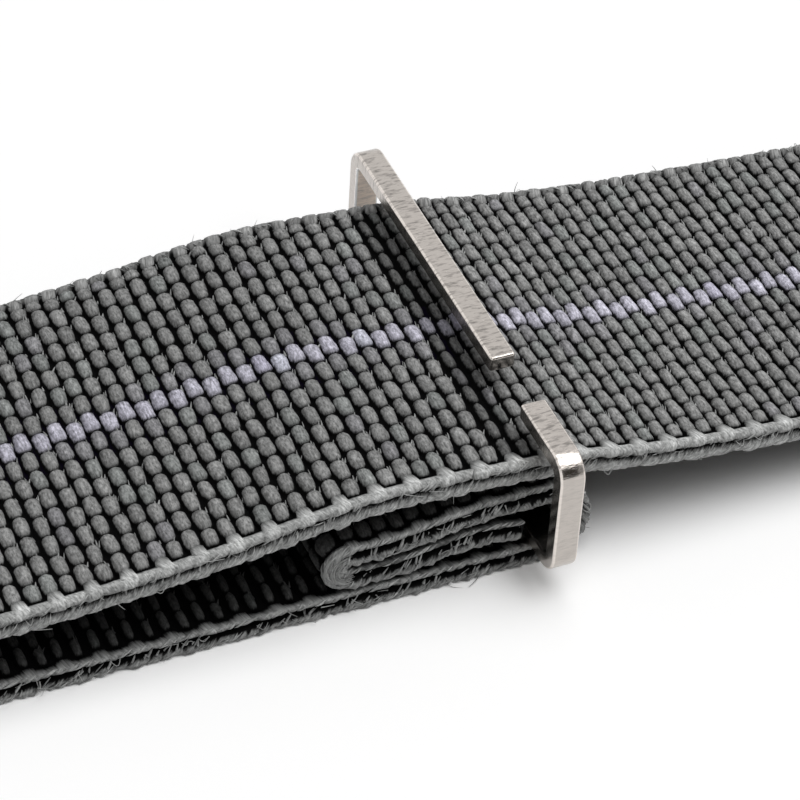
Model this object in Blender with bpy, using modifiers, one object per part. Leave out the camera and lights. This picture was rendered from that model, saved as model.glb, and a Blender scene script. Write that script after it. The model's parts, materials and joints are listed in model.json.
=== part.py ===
"""Elastic watch strap, laid out open on a table.

A single woven band starts at the slider ring, where its sewn tail wraps the ring's
lower bar. It runs left along the table, turns round the bar of the hook clasp, comes
back over itself through the open slider ring, and runs right to the catch loop, where
it is turned round a bar and sewn to itself. X runs along the strap, Y across it and
Z up. The origin is under the middle of the whole strap, on the table.

Places along the band are worked out first from the middle of the slider ring.
"""
import math

import bmesh
import bpy
from mathutils import Matrix, Vector

# Band
BAND_WIDTH = 0.0200
BAND_THICK = 0.0012
SELVEDGE_SHARE = 0.46
FACE_GAP = 0.0003

# Slider ring, bent from flat strip and open on top
STRIP_WIDTH = 0.00127
STRIP_THICK = 0.00085
STRIP_ROUND = 0.00016
RING_SIDE_GAP = 0.00175
RING_HEAD_GAP = 0.00065
RING_INNER_BEND = 0.00035
RING_SEAT_GAP = 0.0003
RING_GAP_WIDTH = 0.0033
RING_GAP_OFFSET = -0.00625

# Turn of the band round the ring's lower bar, and the sewn tail
RING_BAR_HEADROOM = 0.00125
RING_TURN_OFFSET = 0.0002
TAIL_LENGTH = 0.0097
TAIL_REACH_UNDER = 0.0022
TAIL_GAP = 0.00025
HEM_BORE = 0.0002
FLAP_END_GAP = 0.00033

# Upper layer of the band
CROSSING_GAP = 0.0010
CROSSING_BACK = 0.0140
CROSSING_AHEAD = 0.0060
TOP_RUN_LENGTH = 0.0280
FEED_LENGTH = 0.0390
SEAT_LENGTH = 0.0200
SEAT_RISE_LENGTH = 0.0133
RUN_LOW_TOP = 0.0036

# Turns of the band round the bars of the clasp pieces
BAR_PLAY = 0.00023
TURN_LEAD = 0.0020
CATCH_TAIL_LENGTH = 0.0097
CATCH_FLAP_GAP = 0.00035

# Clasp plates
PLATE_THICK = 0.0010
PLATE_RAIL = 0.0019
PLATE_ROUND = 0.00018
PLATE_CREASE = math.radians(40)
BAR_WIDTH = 0.0013
CORNER_ROUND = 0.0014
WINDOW_SIDE_GAP = 0.0007
WINDOW_ROUND = 0.0005
CATCH_ENTRY = 0.0052
CATCH_OUTER_BAR = 0.0016
HOOK_WINDOW_GAP = 0.0010
HOOK_FRAME_BAR = 0.0016
HOOK_TONGUE_WIDTH = 0.0160
HOOK_TONGUE_LENGTH = 0.00295
HOOK_FILLET = 0.0010
HOOK_THROAT = 0.0017
HOOK_LIP = 0.0022
CUTTER_OVERRUN = 0.0020
WELD_DISTANCE = 0.000001

# Upper layer left of the ring: shares of the way to the hook bar, and of the rise
# from the top of the hook turn to the hump over the tail
LEFT_SHARES = ((0.693, 0.27), (0.511, 0.37), (0.352, 0.63), (0.193, 1.0), (0.057, 0.92))
# Upper layer right of the ring: shares of the way to the feed run's end, and of the
# height of the hump above the lowest stretch
RIGHT_SHARES = ((0.033, 0.835), (0.122, 0.6), (0.256, 0.39), (0.433, 0.226), (0.656, 0.075), (1.0, 0.0))
# Upper strand and flap of the tail, ring to hem: shares of the tail's length, and of the rise
STRAND_SHARES = ((0.34, 0.88), (0.74, 0.12))
FLAP_SHARES = ((0.74, 0.0), (0.34, 0.73))
FLAP_END_SHARE = 0.40

# Finishes
WEBBING_COLOUR = (0.17, 0.18, 0.18)
WEBBING_ROUGHNESS = 0.85
STEEL_COLOUR = (0.62, 0.58, 0.54)
STEEL_ROUGHNESS = 0.35

# Points along a turn, a span between two knots, a rounded corner and a small rounding
ARC_STEPS = 10
SPAN_STEPS = 5
EDGE_STEPS = 3
ROUND_STEPS = 2

# The band's turn round the ring's bar, and the heights stacked on it
RING_BOTTOM = BAND_THICK + RING_SEAT_GAP
RING_AXIS_HEIGHT = RING_BOTTOM + STRIP_THICK / 2
RING_TURN_BORE = RING_SEAT_GAP + STRIP_THICK + RING_BAR_HEADROOM
RING_TURN_TOP = 2 * BAND_THICK + RING_TURN_BORE
HUMP_TOP = RING_TURN_TOP + CROSSING_GAP + BAND_THICK
RING_HEIGHT = HUMP_TOP + RING_HEAD_GAP + STRIP_THICK - RING_BOTTOM
RING_WIDTH = BAND_WIDTH + 2 * (RING_SIDE_GAP + STRIP_THICK)
RING_BEND = STRIP_THICK + RING_INNER_BEND
FLOOR_LAYER = BAND_THICK / 2
HEM_RADIUS = (BAND_THICK + HEM_BORE) / 2

# The turns round the clasp bars
BAR_SWEEP = math.hypot(BAR_WIDTH, PLATE_THICK) / 2
TURN_RADIUS = BAR_SWEEP + BAR_PLAY + BAND_THICK / 2
TURN_REACH = TURN_RADIUS + BAND_THICK / 2
BAR_HEIGHT = TURN_REACH

# Places along the band, from the middle of the ring
FEED_END = CROSSING_AHEAD + FEED_LENGTH
SEAT_END = FEED_END + SEAT_LENGTH
CATCH_TAIL_START = SEAT_END + SEAT_RISE_LENGTH
END_REACH = CATCH_TAIL_START + CATCH_TAIL_LENGTH
LEAD_REACH = CROSSING_BACK + TOP_RUN_LENGTH
LOOP_REACH = LEAD_REACH + TURN_LEAD

# Clasp plates, from the middle of their bars
PLATE_WIDTH = BAND_WIDTH + 2 * (WINDOW_SIDE_GAP + PLATE_RAIL)
WINDOW_SIDE = BAND_WIDTH / 2 + WINDOW_SIDE_GAP
CATCH_WINDOW_END = TURN_REACH + CATCH_ENTRY
CATCH_REACH = CATCH_WINDOW_END + CATCH_OUTER_BAR
HOOK_WINDOW_END = TURN_REACH + HOOK_WINDOW_GAP
HOOK_FRAME_END = HOOK_WINDOW_END + HOOK_FRAME_BAR
HOOK_LENGTH = HOOK_FRAME_END + HOOK_TONGUE_LENGTH
HOOK_CURL = (HOOK_THROAT + PLATE_THICK) / 2


def tilt_to_table(reach, depth):
    """Angle that lowers a point, reach out from the bar and depth below it, to the table."""
    span = math.hypot(reach, depth)
    return math.asin(BAR_HEIGHT / span) - math.atan2(depth, reach)


CATCH_TILT = tilt_to_table(CATCH_REACH, PLATE_THICK / 2)
HOOK_TILT = -tilt_to_table(HOOK_LENGTH - HOOK_LIP, 2 * HOOK_CURL + PLATE_THICK / 2)
HOOK_END = HOOK_LENGTH * math.cos(HOOK_TILT) + HOOK_CURL * math.sin(HOOK_TILT) + HOOK_CURL + PLATE_THICK / 2
CATCH_END = CATCH_REACH * math.cos(CATCH_TILT) + PLATE_THICK / 2 * math.sin(CATCH_TILT)
LEFT_END = -LOOP_REACH - HOOK_END
RIGHT_END = END_REACH + CATCH_END
RING_X = -(LEFT_END + RIGHT_END) / 2

# Local XY of a flat curve turned into the plane of the strap's side view
SIDE_VIEW = Matrix(((1, 0, 0), (0, 0, -1), (0, 1, 0)))
# Local XY of a flat curve turned into the plane of the ring, seen along the strap
END_VIEW = Matrix(((0, 0, 1), (1, 0, 0), (0, 1, 0)))


def clear_scene():
    """Remove what the file opened with."""
    for obj in list(bpy.data.objects):
        bpy.data.objects.remove(obj)


def new_collection(name):
    """Add a collection to the scene."""
    collection = bpy.data.collections.new(name)
    bpy.context.scene.collection.children.link(collection)
    return collection


def make_material(name, colour, roughness, metallic):
    """Principled material of one sub-part."""
    material = bpy.data.materials.new(name)
    material.use_nodes = True
    shader = material.node_tree.nodes["Principled BSDF"]
    shader.inputs["Base Color"].default_value = (*colour, 1)
    shader.inputs["Roughness"].default_value = roughness
    shader.inputs["Metallic"].default_value = metallic
    return material


def steel(piece):
    """Satin steel of one of the metal pieces."""
    return make_material(piece + "_steel", STEEL_COLOUR, STEEL_ROUGHNESS, 1)


def arc(centre, radius, start, end, steps=ARC_STEPS):
    """Points on an arc, both ends included; angles in degrees."""
    angles = [math.radians(start + (end - start) * i / steps) for i in range(steps + 1)]
    return [(centre[0] + radius * math.cos(a), centre[1] + radius * math.sin(a)) for a in angles]


def smooth(knots, first_slope=None, last_slope=None, steps=SPAN_STEPS):
    """Smooth curve through knots whose first coordinate runs steadily one way."""
    slopes = []
    for i, knot in enumerate(knots):
        before = knots[max(i - 1, 0)]
        after = knots[min(i + 1, len(knots) - 1)]
        slopes.append((after[1] - before[1]) / (after[0] - before[0]))
    if first_slope is not None:
        slopes[0] = first_slope
    if last_slope is not None:
        slopes[-1] = last_slope
    points = []
    for i in range(len(knots) - 1):
        (x0, z0), (x1, z1) = knots[i], knots[i + 1]
        for k in range(steps):
            t = k / steps
            z = (
                (2 * t**3 - 3 * t**2 + 1) * z0
                + (t**3 - 2 * t**2 + t) * (x1 - x0) * slopes[i]
                + (3 * t**2 - 2 * t**3) * z1
                + (t**3 - t**2) * (x1 - x0) * slopes[i + 1]
            )
            points.append((x0 + (x1 - x0) * t, z))
    return points + [knots[-1]]


def height_at(points, x):
    """Height of a polyline, running left to right, at x."""
    for (x0, z0), (x1, z1) in zip(points, points[1:]):
        if x0 <= x <= x1:
            return z0 + (z1 - z0) * (x - x0) / (x1 - x0)
    raise ValueError("x is off the polyline")


def cut_between(points, low, high):
    """The stretch of a left-to-right polyline between two values of x."""
    middle = [p for p in points if low < p[0] < high]
    return [(low, height_at(points, low))] + middle + [(high, height_at(points, high))]


def section(name, thick, width, corner, steps):
    """Closed section with rounded corners: X across the thickness, Y across the width."""
    x, y = thick / 2 - corner, width / 2 - corner
    points = []
    for centre, start in (((x, -y), 0), ((-x, -y), -90), ((-x, y), -180), ((x, y), -270)):
        points += arc(centre, corner, start, start - 90, steps)
    curve = bpy.data.curves.new(name, "CURVE")
    curve.dimensions = "2D"
    spline = curve.splines.new("POLY")
    spline.points.add(len(points) - 1)
    for point, co in zip(spline.points, points):
        point.co = (*co, 0, 1)
    spline.use_cyclic_u = True
    obj = bpy.data.objects.new(name, curve)
    hide(obj)
    guides.objects.link(obj)
    return obj


def sweep(name, points, profile, view, origin, material):
    """Sweep a section along a flat path; points are relative to the origin, in the view's plane."""
    curve = bpy.data.curves.new(name, "CURVE")
    curve.dimensions = "2D"
    spline = curve.splines.new("POLY")
    spline.points.add(len(points) - 1)
    for point, co in zip(spline.points, points):
        point.co = (*co, 0, 1)
    curve.bevel_mode = "OBJECT"
    curve.bevel_object = profile
    curve.use_fill_caps = True
    curve.materials.append(material)
    obj = bpy.data.objects.new(name, curve)
    obj.matrix_world = Matrix.Translation(origin) @ view.to_4x4()
    parts.objects.link(obj)
    return obj


def hide(obj):
    """Mark a cutter or a guide, which isn't a piece of the strap."""
    obj.hide_render = True
    obj.display_type = "WIRE"


def to_mesh(obj):
    """Replace a curve by its mesh, with the caps joined to the walls."""
    bpy.context.view_layer.update()
    name = obj.name
    collection = obj.users_collection[0]
    depsgraph = bpy.context.evaluated_depsgraph_get()
    mesh = bpy.data.meshes.new_from_object(obj.evaluated_get(depsgraph))
    work = bmesh.new()
    work.from_mesh(mesh)
    bmesh.ops.remove_doubles(work, verts=work.verts, dist=WELD_DISTANCE)
    work.to_mesh(mesh)
    work.free()
    place = obj.matrix_world.copy()
    bpy.data.objects.remove(obj)
    solid = bpy.data.objects.new(name, mesh)
    solid.matrix_world = place
    collection.objects.link(solid)
    return solid


def filleted(corners, steps=EDGE_STEPS):
    """Outline through (x, y, radius) corners, each rounded by its radius."""
    points = []
    for i, (x, y, radius) in enumerate(corners):
        corner = Vector((x, y))
        back = (Vector(corners[i - 1][:2]) - corner).normalized()
        ahead = (Vector(corners[(i + 1) % len(corners)][:2]) - corner).normalized()
        half = back.angle(ahead) / 2
        centre = corner + (back + ahead).normalized() * radius / math.sin(half)
        first = corner + back * radius / math.tan(half) - centre
        last = corner + ahead * radius / math.tan(half) - centre
        turn = first.angle_signed(last)
        for k in range(steps + 1):
            points.append(centre + Matrix.Rotation(-turn * k / steps, 2) @ first)
    return points


def rectangle(low, high, corner):
    """Outline of a rectangle with rounded corners."""
    return filleted(
        (
            (low[0], low[1], corner),
            (high[0], low[1], corner),
            (high[0], high[1], corner),
            (low[0], high[1], corner),
        )
    )


def prism(name, loops, half_height, collection):
    """Plate from closed outlines, the first outside and the rest holes."""
    curve = bpy.data.curves.new(name, "CURVE")
    curve.dimensions = "2D"
    curve.fill_mode = "BOTH"
    curve.extrude = half_height
    for loop in loops:
        spline = curve.splines.new("POLY")
        spline.points.add(len(loop) - 1)
        for point, co in zip(spline.points, loop):
            point.co = (*co, 0, 1)
        spline.use_cyclic_u = True
    obj = bpy.data.objects.new(name, curve)
    collection.objects.link(obj)
    return to_mesh(obj)


def round_edges(obj):
    """Small rounding on a stamped plate's edges."""
    bevel = obj.modifiers.new("edges", "BEVEL")
    bevel.width = PLATE_ROUND
    bevel.segments = ROUND_STEPS
    bevel.limit_method = "ANGLE"
    bevel.angle_limit = PLATE_CREASE


def upper_layer():
    """Middle line of the band's upper layer, from the hook turn to the catch turn."""
    turn_middle = BAR_HEIGHT + TURN_RADIUS
    hump = HUMP_TOP - BAND_THICK / 2
    low = RUN_LOW_TOP - BAND_THICK / 2
    stack = FLOOR_LAYER + 2 * HEM_RADIUS + BAND_THICK + TAIL_GAP
    knots = [(-LEAD_REACH, turn_middle)]
    knots += [(-LOOP_REACH * x, turn_middle + (hump - turn_middle) * z) for x, z in LEFT_SHARES]
    knots += [(FEED_END * x, low + (hump - low) * z) for x, z in RIGHT_SHARES]
    rise = [(SEAT_END, low), (CATCH_TAIL_START, stack), (END_REACH, turn_middle)]
    return smooth(knots, 0, 0) + smooth(rise, 0, 0)


def ribbon(name, points):
    """One stretch of the band, along its middle line."""
    webbing = section(name + "_section", BAND_THICK, BAND_WIDTH, SELVEDGE_SHARE * BAND_THICK, EDGE_STEPS)
    material = make_material(name + "_webbing", WEBBING_COLOUR, WEBBING_ROUGHNESS, 0)
    return sweep(name, points, webbing, SIDE_VIEW, Vector((RING_X, 0, 0)), material)


def build_upper_runs():
    """Upper layer of the band: the loop's top, the stretch through the ring, and the feed run."""
    upper = upper_layer()
    half_gap = FACE_GAP / 2
    ribbon("band_top_run", cut_between(upper, -LEAD_REACH + half_gap, -CROSSING_BACK - half_gap))
    ribbon("band_crossing", cut_between(upper, -CROSSING_BACK + half_gap, CROSSING_AHEAD - half_gap))
    ribbon("band_feed_run", cut_between(upper, CROSSING_AHEAD + half_gap, FEED_END - half_gap))


def build_hook_turn():
    """The band's turn round the hook bar, and the layer that runs back along the table."""
    half_gap = FACE_GAP / 2
    lead = -LEAD_REACH - half_gap
    turn = [(lead, BAR_HEIGHT + TURN_RADIUS)]
    turn += arc((-LOOP_REACH, BAR_HEIGHT), TURN_RADIUS, 90, 270)
    turn.append((lead, FLOOR_LAYER))
    ribbon("band_hook_turn", turn)
    tail_start = -TAIL_LENGTH - TAIL_REACH_UNDER - half_gap
    ribbon("band_bottom_run", [(-LEAD_REACH + half_gap, FLOOR_LAYER), (tail_start, FLOOR_LAYER)])


def build_ring_tail():
    """The sewn tail: under the ring's bar, round it, back over it, and folded under itself."""
    turn_radius = (RING_TURN_BORE + BAND_THICK) / 2
    over = FLOOR_LAYER + 2 * turn_radius
    flap = FLOOR_LAYER + BAND_THICK + TAIL_GAP
    strand = flap + 2 * HEM_RADIUS
    rise = over - strand
    tail = [(-TAIL_LENGTH - TAIL_REACH_UNDER + FACE_GAP / 2, FLOOR_LAYER)]
    tail += arc((RING_TURN_OFFSET, FLOOR_LAYER + turn_radius), turn_radius, -90, 90)[:-1]
    knots = [(RING_TURN_OFFSET, over)]
    knots += [(-TAIL_LENGTH * x, strand + rise * z) for x, z in STRAND_SHARES]
    knots.append((-TAIL_LENGTH, strand))
    tail += smooth(knots, 0, 0)[:-1]
    tail += arc((-TAIL_LENGTH, flap + HEM_RADIUS), HEM_RADIUS, 90, 270)[:-1]
    knots = [(-TAIL_LENGTH, flap)]
    knots += [(-TAIL_LENGTH * x, flap + rise * z) for x, z in FLAP_SHARES]
    knots.append((-STRIP_WIDTH / 2 - FLAP_END_GAP, flap + rise * FLAP_END_SHARE))
    tail += smooth(knots, 0)
    ribbon("band_ring_tail", tail)


def build_end_run():
    """The watch's seat, the turn round the catch bar, and the tail sewn back under it."""
    run = cut_between(upper_layer(), FEED_END + FACE_GAP / 2, END_REACH)[:-1]
    run += arc((END_REACH, BAR_HEIGHT), TURN_RADIUS, 90, -90)
    run += arc((CATCH_TAIL_START, FLOOR_LAYER + HEM_RADIUS), HEM_RADIUS, 270, 90)
    run.append((END_REACH - BAR_SWEEP - CATCH_FLAP_GAP, FLOOR_LAYER + 2 * HEM_RADIUS))
    ribbon("band_end_run", run)


def build_ring():
    """Slider ring: flat strip bent into a rectangle whose ends leave a gap on top."""
    strip = section("strip_section", STRIP_THICK, STRIP_WIDTH, STRIP_ROUND, ROUND_STEPS)
    radius = RING_BEND - STRIP_THICK / 2
    side = RING_WIDTH / 2 - RING_BEND
    low = -STRIP_THICK / 2 + RING_BEND
    high = low + RING_HEIGHT - 2 * RING_BEND
    top = high + radius
    path = [(RING_GAP_OFFSET + RING_GAP_WIDTH / 2, top)]
    path += arc((side, high), radius, 90, 0)
    path += arc((side, low), radius, 0, -90)
    path += arc((-side, low), radius, -90, -180)
    path += arc((-side, high), radius, 180, 90)
    path.append((RING_GAP_OFFSET - RING_GAP_WIDTH / 2, top))
    origin = Vector((RING_X, 0, RING_AXIS_HEIGHT))
    sweep("slider_ring", path, strip, END_VIEW, origin, steel("slider_ring"))


def build_hook():
    """Hook clasp: a plate with a window for the band, its tongue curled down and back."""
    side = section("plate_section", PLATE_THICK, PLATE_WIDTH + 2 * CUTTER_OVERRUN, PLATE_ROUND, 1)
    path = [(BAR_WIDTH / 2 + CUTTER_OVERRUN, 0)]
    path += arc((-HOOK_LENGTH, -HOOK_CURL), HOOK_CURL, 90, 270)
    path.append((-HOOK_LENGTH + HOOK_LIP, -2 * HOOK_CURL))
    place = Matrix.Translation((RING_X - LOOP_REACH, 0, BAR_HEIGHT)) @ Matrix.Rotation(HOOK_TILT, 4, "Y")
    plate = to_mesh(sweep("hook_clasp", path, side, SIDE_VIEW, Vector(), steel("hook_clasp")))
    plate.matrix_world = place @ SIDE_VIEW.to_4x4()

    bar_back = -BAR_WIDTH / 2
    tongue_end = -HOOK_LENGTH - 2 * HOOK_CURL - CUTTER_OVERRUN
    tongue_side = HOOK_TONGUE_WIDTH / 2
    plate_side = PLATE_WIDTH / 2
    blank = filleted(
        (
            (BAR_WIDTH / 2, -plate_side, BAR_WIDTH / 2),
            (BAR_WIDTH / 2, plate_side, BAR_WIDTH / 2),
            (-HOOK_FRAME_END, plate_side, CORNER_ROUND),
            (-HOOK_FRAME_END, tongue_side, HOOK_FILLET),
            (tongue_end, tongue_side, HOOK_FILLET),
            (tongue_end, -tongue_side, HOOK_FILLET),
            (-HOOK_FRAME_END, -tongue_side, HOOK_FILLET),
            (-HOOK_FRAME_END, -plate_side, CORNER_ROUND),
        )
    )
    window = rectangle((-HOOK_WINDOW_END, -WINDOW_SIDE), (bar_back, WINDOW_SIDE), WINDOW_ROUND)
    cutter = prism("hook_blank", (blank, window), 2 * HOOK_CURL + CUTTER_OVERRUN, guides)
    cutter.matrix_world = place
    hide(cutter)
    cut = plate.modifiers.new("blank", "BOOLEAN")
    cut.operation = "INTERSECT"
    cut.object = cutter
    round_edges(plate)


def build_catch():
    """Catch loop: a flat plate with one window, shared by the band's turn and the hook."""
    plate_side = PLATE_WIDTH / 2
    outer = filleted(
        (
            (-BAR_WIDTH / 2, -plate_side, BAR_WIDTH / 2),
            (CATCH_REACH, -plate_side, CORNER_ROUND),
            (CATCH_REACH, plate_side, CORNER_ROUND),
            (-BAR_WIDTH / 2, plate_side, BAR_WIDTH / 2),
        )
    )
    window = rectangle((BAR_WIDTH / 2, -WINDOW_SIDE), (CATCH_WINDOW_END, WINDOW_SIDE), WINDOW_ROUND)
    plate = prism("catch_loop", (outer, window), PLATE_THICK / 2, parts)
    plate.data.materials.append(steel("catch_loop"))
    tilt = Matrix.Rotation(CATCH_TILT, 4, "Y")
    plate.matrix_world = Matrix.Translation((RING_X + END_REACH, 0, BAR_HEIGHT)) @ tilt
    round_edges(plate)


clear_scene()
parts = new_collection("elastic_watch_strap")
guides = new_collection("guides_and_cutters")
build_upper_runs()
build_hook_turn()
build_ring_tail()
build_end_run()
build_ring()
build_hook()
build_catch()
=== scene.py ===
"""Elastic watch strap: its woven band, slider ring, clasp pieces and the table it lies on.

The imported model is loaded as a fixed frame. The band is woven around it stretch by
stretch: rows of yarn floats on both faces, with two ropes along each selvedge. The band's
middle line is measured from the middle of the slider ring, X along the strap and Z up.
"""

import json
import math

import bmesh
import bpy
import numpy as np
from bpy.props import FloatProperty, FloatVectorProperty, IntProperty, PointerProperty
from mathutils import Matrix, Vector


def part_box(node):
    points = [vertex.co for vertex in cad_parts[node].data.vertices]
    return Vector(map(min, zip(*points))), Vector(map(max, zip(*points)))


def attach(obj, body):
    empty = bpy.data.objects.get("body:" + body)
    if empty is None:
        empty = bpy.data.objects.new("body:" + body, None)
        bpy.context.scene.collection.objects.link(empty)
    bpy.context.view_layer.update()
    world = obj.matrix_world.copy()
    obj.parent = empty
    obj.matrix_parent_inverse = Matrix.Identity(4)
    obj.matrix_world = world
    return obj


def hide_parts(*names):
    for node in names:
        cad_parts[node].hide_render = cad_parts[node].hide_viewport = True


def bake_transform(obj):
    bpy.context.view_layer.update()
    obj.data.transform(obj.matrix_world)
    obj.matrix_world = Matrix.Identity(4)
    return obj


bl_info = {
    "name": "Elastic Watch Strap",
    "version": (1, 0, 0),
    "blender": (4, 5, 0),
    "location": "View3D > Sidebar > Strap",
    "description": "Weaves, bends and sews an elastic watch strap around its packed frame",
    "category": "Object",
}

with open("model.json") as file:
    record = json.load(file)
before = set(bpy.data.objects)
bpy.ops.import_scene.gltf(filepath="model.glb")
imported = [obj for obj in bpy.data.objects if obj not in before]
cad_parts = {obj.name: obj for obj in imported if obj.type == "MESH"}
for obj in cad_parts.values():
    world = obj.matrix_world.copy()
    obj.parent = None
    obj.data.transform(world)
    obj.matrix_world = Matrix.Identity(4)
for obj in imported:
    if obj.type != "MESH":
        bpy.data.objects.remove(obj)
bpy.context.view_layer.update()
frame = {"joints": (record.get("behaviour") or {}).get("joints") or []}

MM = 0.001

# Places of the frame's pieces
RING_LOW, RING_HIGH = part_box("slider_ring")
CATCH_LOW, CATCH_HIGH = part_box("catch_loop")
FLAT_LOW, FLAT_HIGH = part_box("band_bottom_run")
JOINT_PLACES = {joint["name"]: joint["pos_m"] for joint in frame["joints"] if "pos_m" in joint}
RING_X = JOINT_PLACES["ring_tilt"][0]
HOOK_BAR_X, BAR_HEIGHT = JOINT_PLACES["hook_swing"][0], JOINT_PLACES["hook_swing"][2]
CATCH_BAR_X = JOINT_PLACES["catch_swing"][0]
BAND_WIDTH = FLAT_HIGH.y - FLAT_LOW.y
BAND_THICK = FLAT_HIGH.z - FLAT_LOW.z
STRIP_WIDTH = RING_HIGH.x - RING_LOW.x
RING_WIDTH = RING_HIGH.y - RING_LOW.y
RING_BOTTOM = RING_LOW.z
RING_TOP = RING_HIGH.z

# The band's middle line, in metres
FLOOR_LAYER = BAND_THICK / 2
CROSSING_GAP = 0.0010
RING_TURN_OFFSET = 0.0002
RING_TURN_TOP = 0.0048
TAIL_LENGTH = 0.0097
TAIL_REACH_UNDER = 0.0022
TAIL_GAP = 0.00025
HEM_GAP = 0.0002
HEM_RADIUS = (BAND_THICK + HEM_GAP) / 2
FLAP_END = 0.00096
HUMP_TOP = RING_TURN_TOP + CROSSING_GAP + BAND_THICK
RUN_LOW_TOP = 0.0036
CROSSING_BACK = 0.0140
CROSSING_AHEAD = 0.0060
TURN_LEAD = 0.0020
TURN_RADIUS = BAR_HEIGHT - BAND_THICK / 2
CATCH_FLAP_END = 0.00117
LOOP_REACH = RING_X - HOOK_BAR_X
END_REACH = CATCH_BAR_X - RING_X
LEAD_REACH = LOOP_REACH - TURN_LEAD
FEED_END = 0.0450
SEAT_END = 0.0650
CATCH_TAIL_START = END_REACH - TAIL_LENGTH
# Shares of the way to the hook bar and of the rise; to the feed run's end and of the hump's
# height; to the hem and of the rise over the ring's bar
LEFT_SHARES = ((0.693, 0.27), (0.511, 0.37), (0.352, 0.63), (0.193, 1.0), (0.057, 0.92))
RIGHT_SHARES = ((0.033, 0.835), (0.122, 0.6), (0.256, 0.39), (0.433, 0.226), (0.656, 0.075), (1.0, 0.0))
STRAND_SHARES = ((0.34, 0.88), (0.74, 0.12))
FLAP_SHARES = ((0.74, 0.0), (0.34, 0.73))
FLAP_END_SHARE = 0.40
ARC_STEPS = 40
SPAN_STEPS = 16
SAME_POINT = 1e-7

# Clasp plates, from the middle of their bars
PLATE_WIDTH = CATCH_HIGH.y - CATCH_LOW.y
PLATE_RAIL = 0.0019
END_RAIL = 0.0016
BAR_WIDTH = 0.0013
CORNER_ROUND = 0.0014
WINDOW_ROUND = 0.0005
LIP_ROUND = 0.0006
WINDOW_SIDE = PLATE_WIDTH / 2 - PLATE_RAIL
CATCH_WINDOW_END = BAR_HEIGHT + 0.0052
CATCH_REACH = CATCH_WINDOW_END + END_RAIL
HOOK_WINDOW_END = BAR_HEIGHT + 0.0010
HOOK_FRAME_END = HOOK_WINDOW_END + END_RAIL
HOOK_LENGTH = HOOK_FRAME_END + 0.00295
HOOK_TONGUE_WIDTH = 0.0160
HOOK_FILLET = 0.0010
HOOK_THROAT = 0.0017
HOOK_LIP = 0.0022
CORNER_STEPS = 8
WELD = 0.000001
CURL_STEPS = 24
PLATE_SEGMENTS = 4
SHARP_ANGLE = math.radians(60)

# The ring, how worn its sides and the plates are, painted light on its rear leg's inner face, and painted
# shade on its lower bar's inner face inside the band's fold
RING_INNER_RADIUS = 0.00035
RING_TOP_SHARES = (-0.2, 0.1, 0.4, 0.7, 0.9)
RING_CORNER_STEPS = 16
STRIP_END_SEGMENTS = 3
ROLLED_SHARE = 0.9
PLATE_WEAR = 0.3
RING_SIDE_WEAR = 0.22
REAR_LEG_PAINTED_LIGHT = 1.95
FOLD_PAINTED_SHADE = 0.25

# The weave: columns of floats along the band, rows across it
LOOP_COLUMN = 0.0008443
LOOP_COLUMN_ORIGIN = -0.0167605
FEED_COLUMN = 0.0007741
FEED_COLUMN_ORIGIN = 0.0077169
LAST_LOOP_COLUMN = 18
FIRST_FEED_COLUMN = -9
BUNCHED_COLUMNS = 2
COLUMN_RANGE = range(-60, 160)
ROW_COUNT = 15
STRIPE_ROW = 7
ROW_STEP_SHARES = (0.0, 0.06, 0.18, 0.38, 0.62, 0.82, 0.94)
FLOAT_ANGLES = np.radians((0, 36, 72, 108, 144, 180))
LINES_PER_COLUMN = 1 + len(FLOAT_ANGLES)
SIDE_CHANGE = 0.0040
REAR_ROW_END = 0.0095
FRONT_ROW_END = 0.0092
FACE_SIGNS = (1, -1)

# On the loop side of the ring and on its feed side, as shares of the row or the column
ROW_OFFSET_SHARES = (0.448, 0.2776)
STAGGER_SHARES = (0.2871, 0.3042)
COLUMN_LEANS = (0.0099, -0.0197)
FLOAT_WIDTH_SHARES = (0.475, 0.485)
GAP_SHARES = (0.10, 0.15)
END_WIDTH_SHARES = (0.56, 0.66)
# Painted light and shade: the feed side, which slopes towards the lamp, lighter, and the loop side darker
SIDE_PAINTED_SHADES = (0.97, 1.08)

# In odd columns and in even ones
OUTLINE_POWERS = (3.4, 2.8)
BARREL_TAPERS = (0.16, 0.04)
COLUMN_SWELLS = (0.97, 1.03)

# One float: its outline and height, the draws that make it differ, and the stripe's floats
CROWN_SQUARER = 0.6
END_HEIGHT_SHARE = 0.14
END_FADE = 0.10
NECK_SHARE = 0.40
NECK_POWER = 2.6
SWAY_SHARE = 0.22
# Mean and spread of its growth, widening, drift, slide, twist and shade
FLOAT_SPREADS = (
    (1.0, 0.045), (1.0, 0.05), (0.0, 0.018 * MM), (0.0, 0.035 * MM), (0.0, 0.045 * MM), (1.0, 0.07))
STRIPE_SWELL = 1.24
STRIPE_RISE = 1.10
FLOAT_NOISE_SPREAD = 40
FACE_NOISE_STEP = 5

# Where the ring presses the columns together, darker partly from the pressing and partly from painted shadow
# of the ring, and the band's inner face, darkened with painted shade
CRUSH_PLACE = -0.0013
CRUSH_REACH = 0.0008
CRUSH_NARROWING = 0.28
CRUSH_AND_SHADOW_FLATTENING = 0.22
CRUSH_AND_SHADOW_DARKENING = 0.38
# Painted shade inside the loop: the band's inner face darker, its floats showing less of their yarn
INNER_FACE_PAINTED_SHADE = 0.26
INNER_FACE_SHADE_RELIEF = 0.85
BACK_WIDTH = 0.62

# Yarns that lean to green or to violet, near the stripe and elsewhere, and the valleys' colours
GREEN_SHARE = 0.12
VIOLET_SHARES = (0.5, 0.04)
GREEN_TINT = (0.985, 1.02, 1.01)
VIOLET_TINT = (1.0, 0.99, 1.035)
STRIPE_VALLEY_TINT = (0.9, 0.35, 2.6)
VALLEY_TINT = (0.8, 0.8, 0.9)

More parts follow.
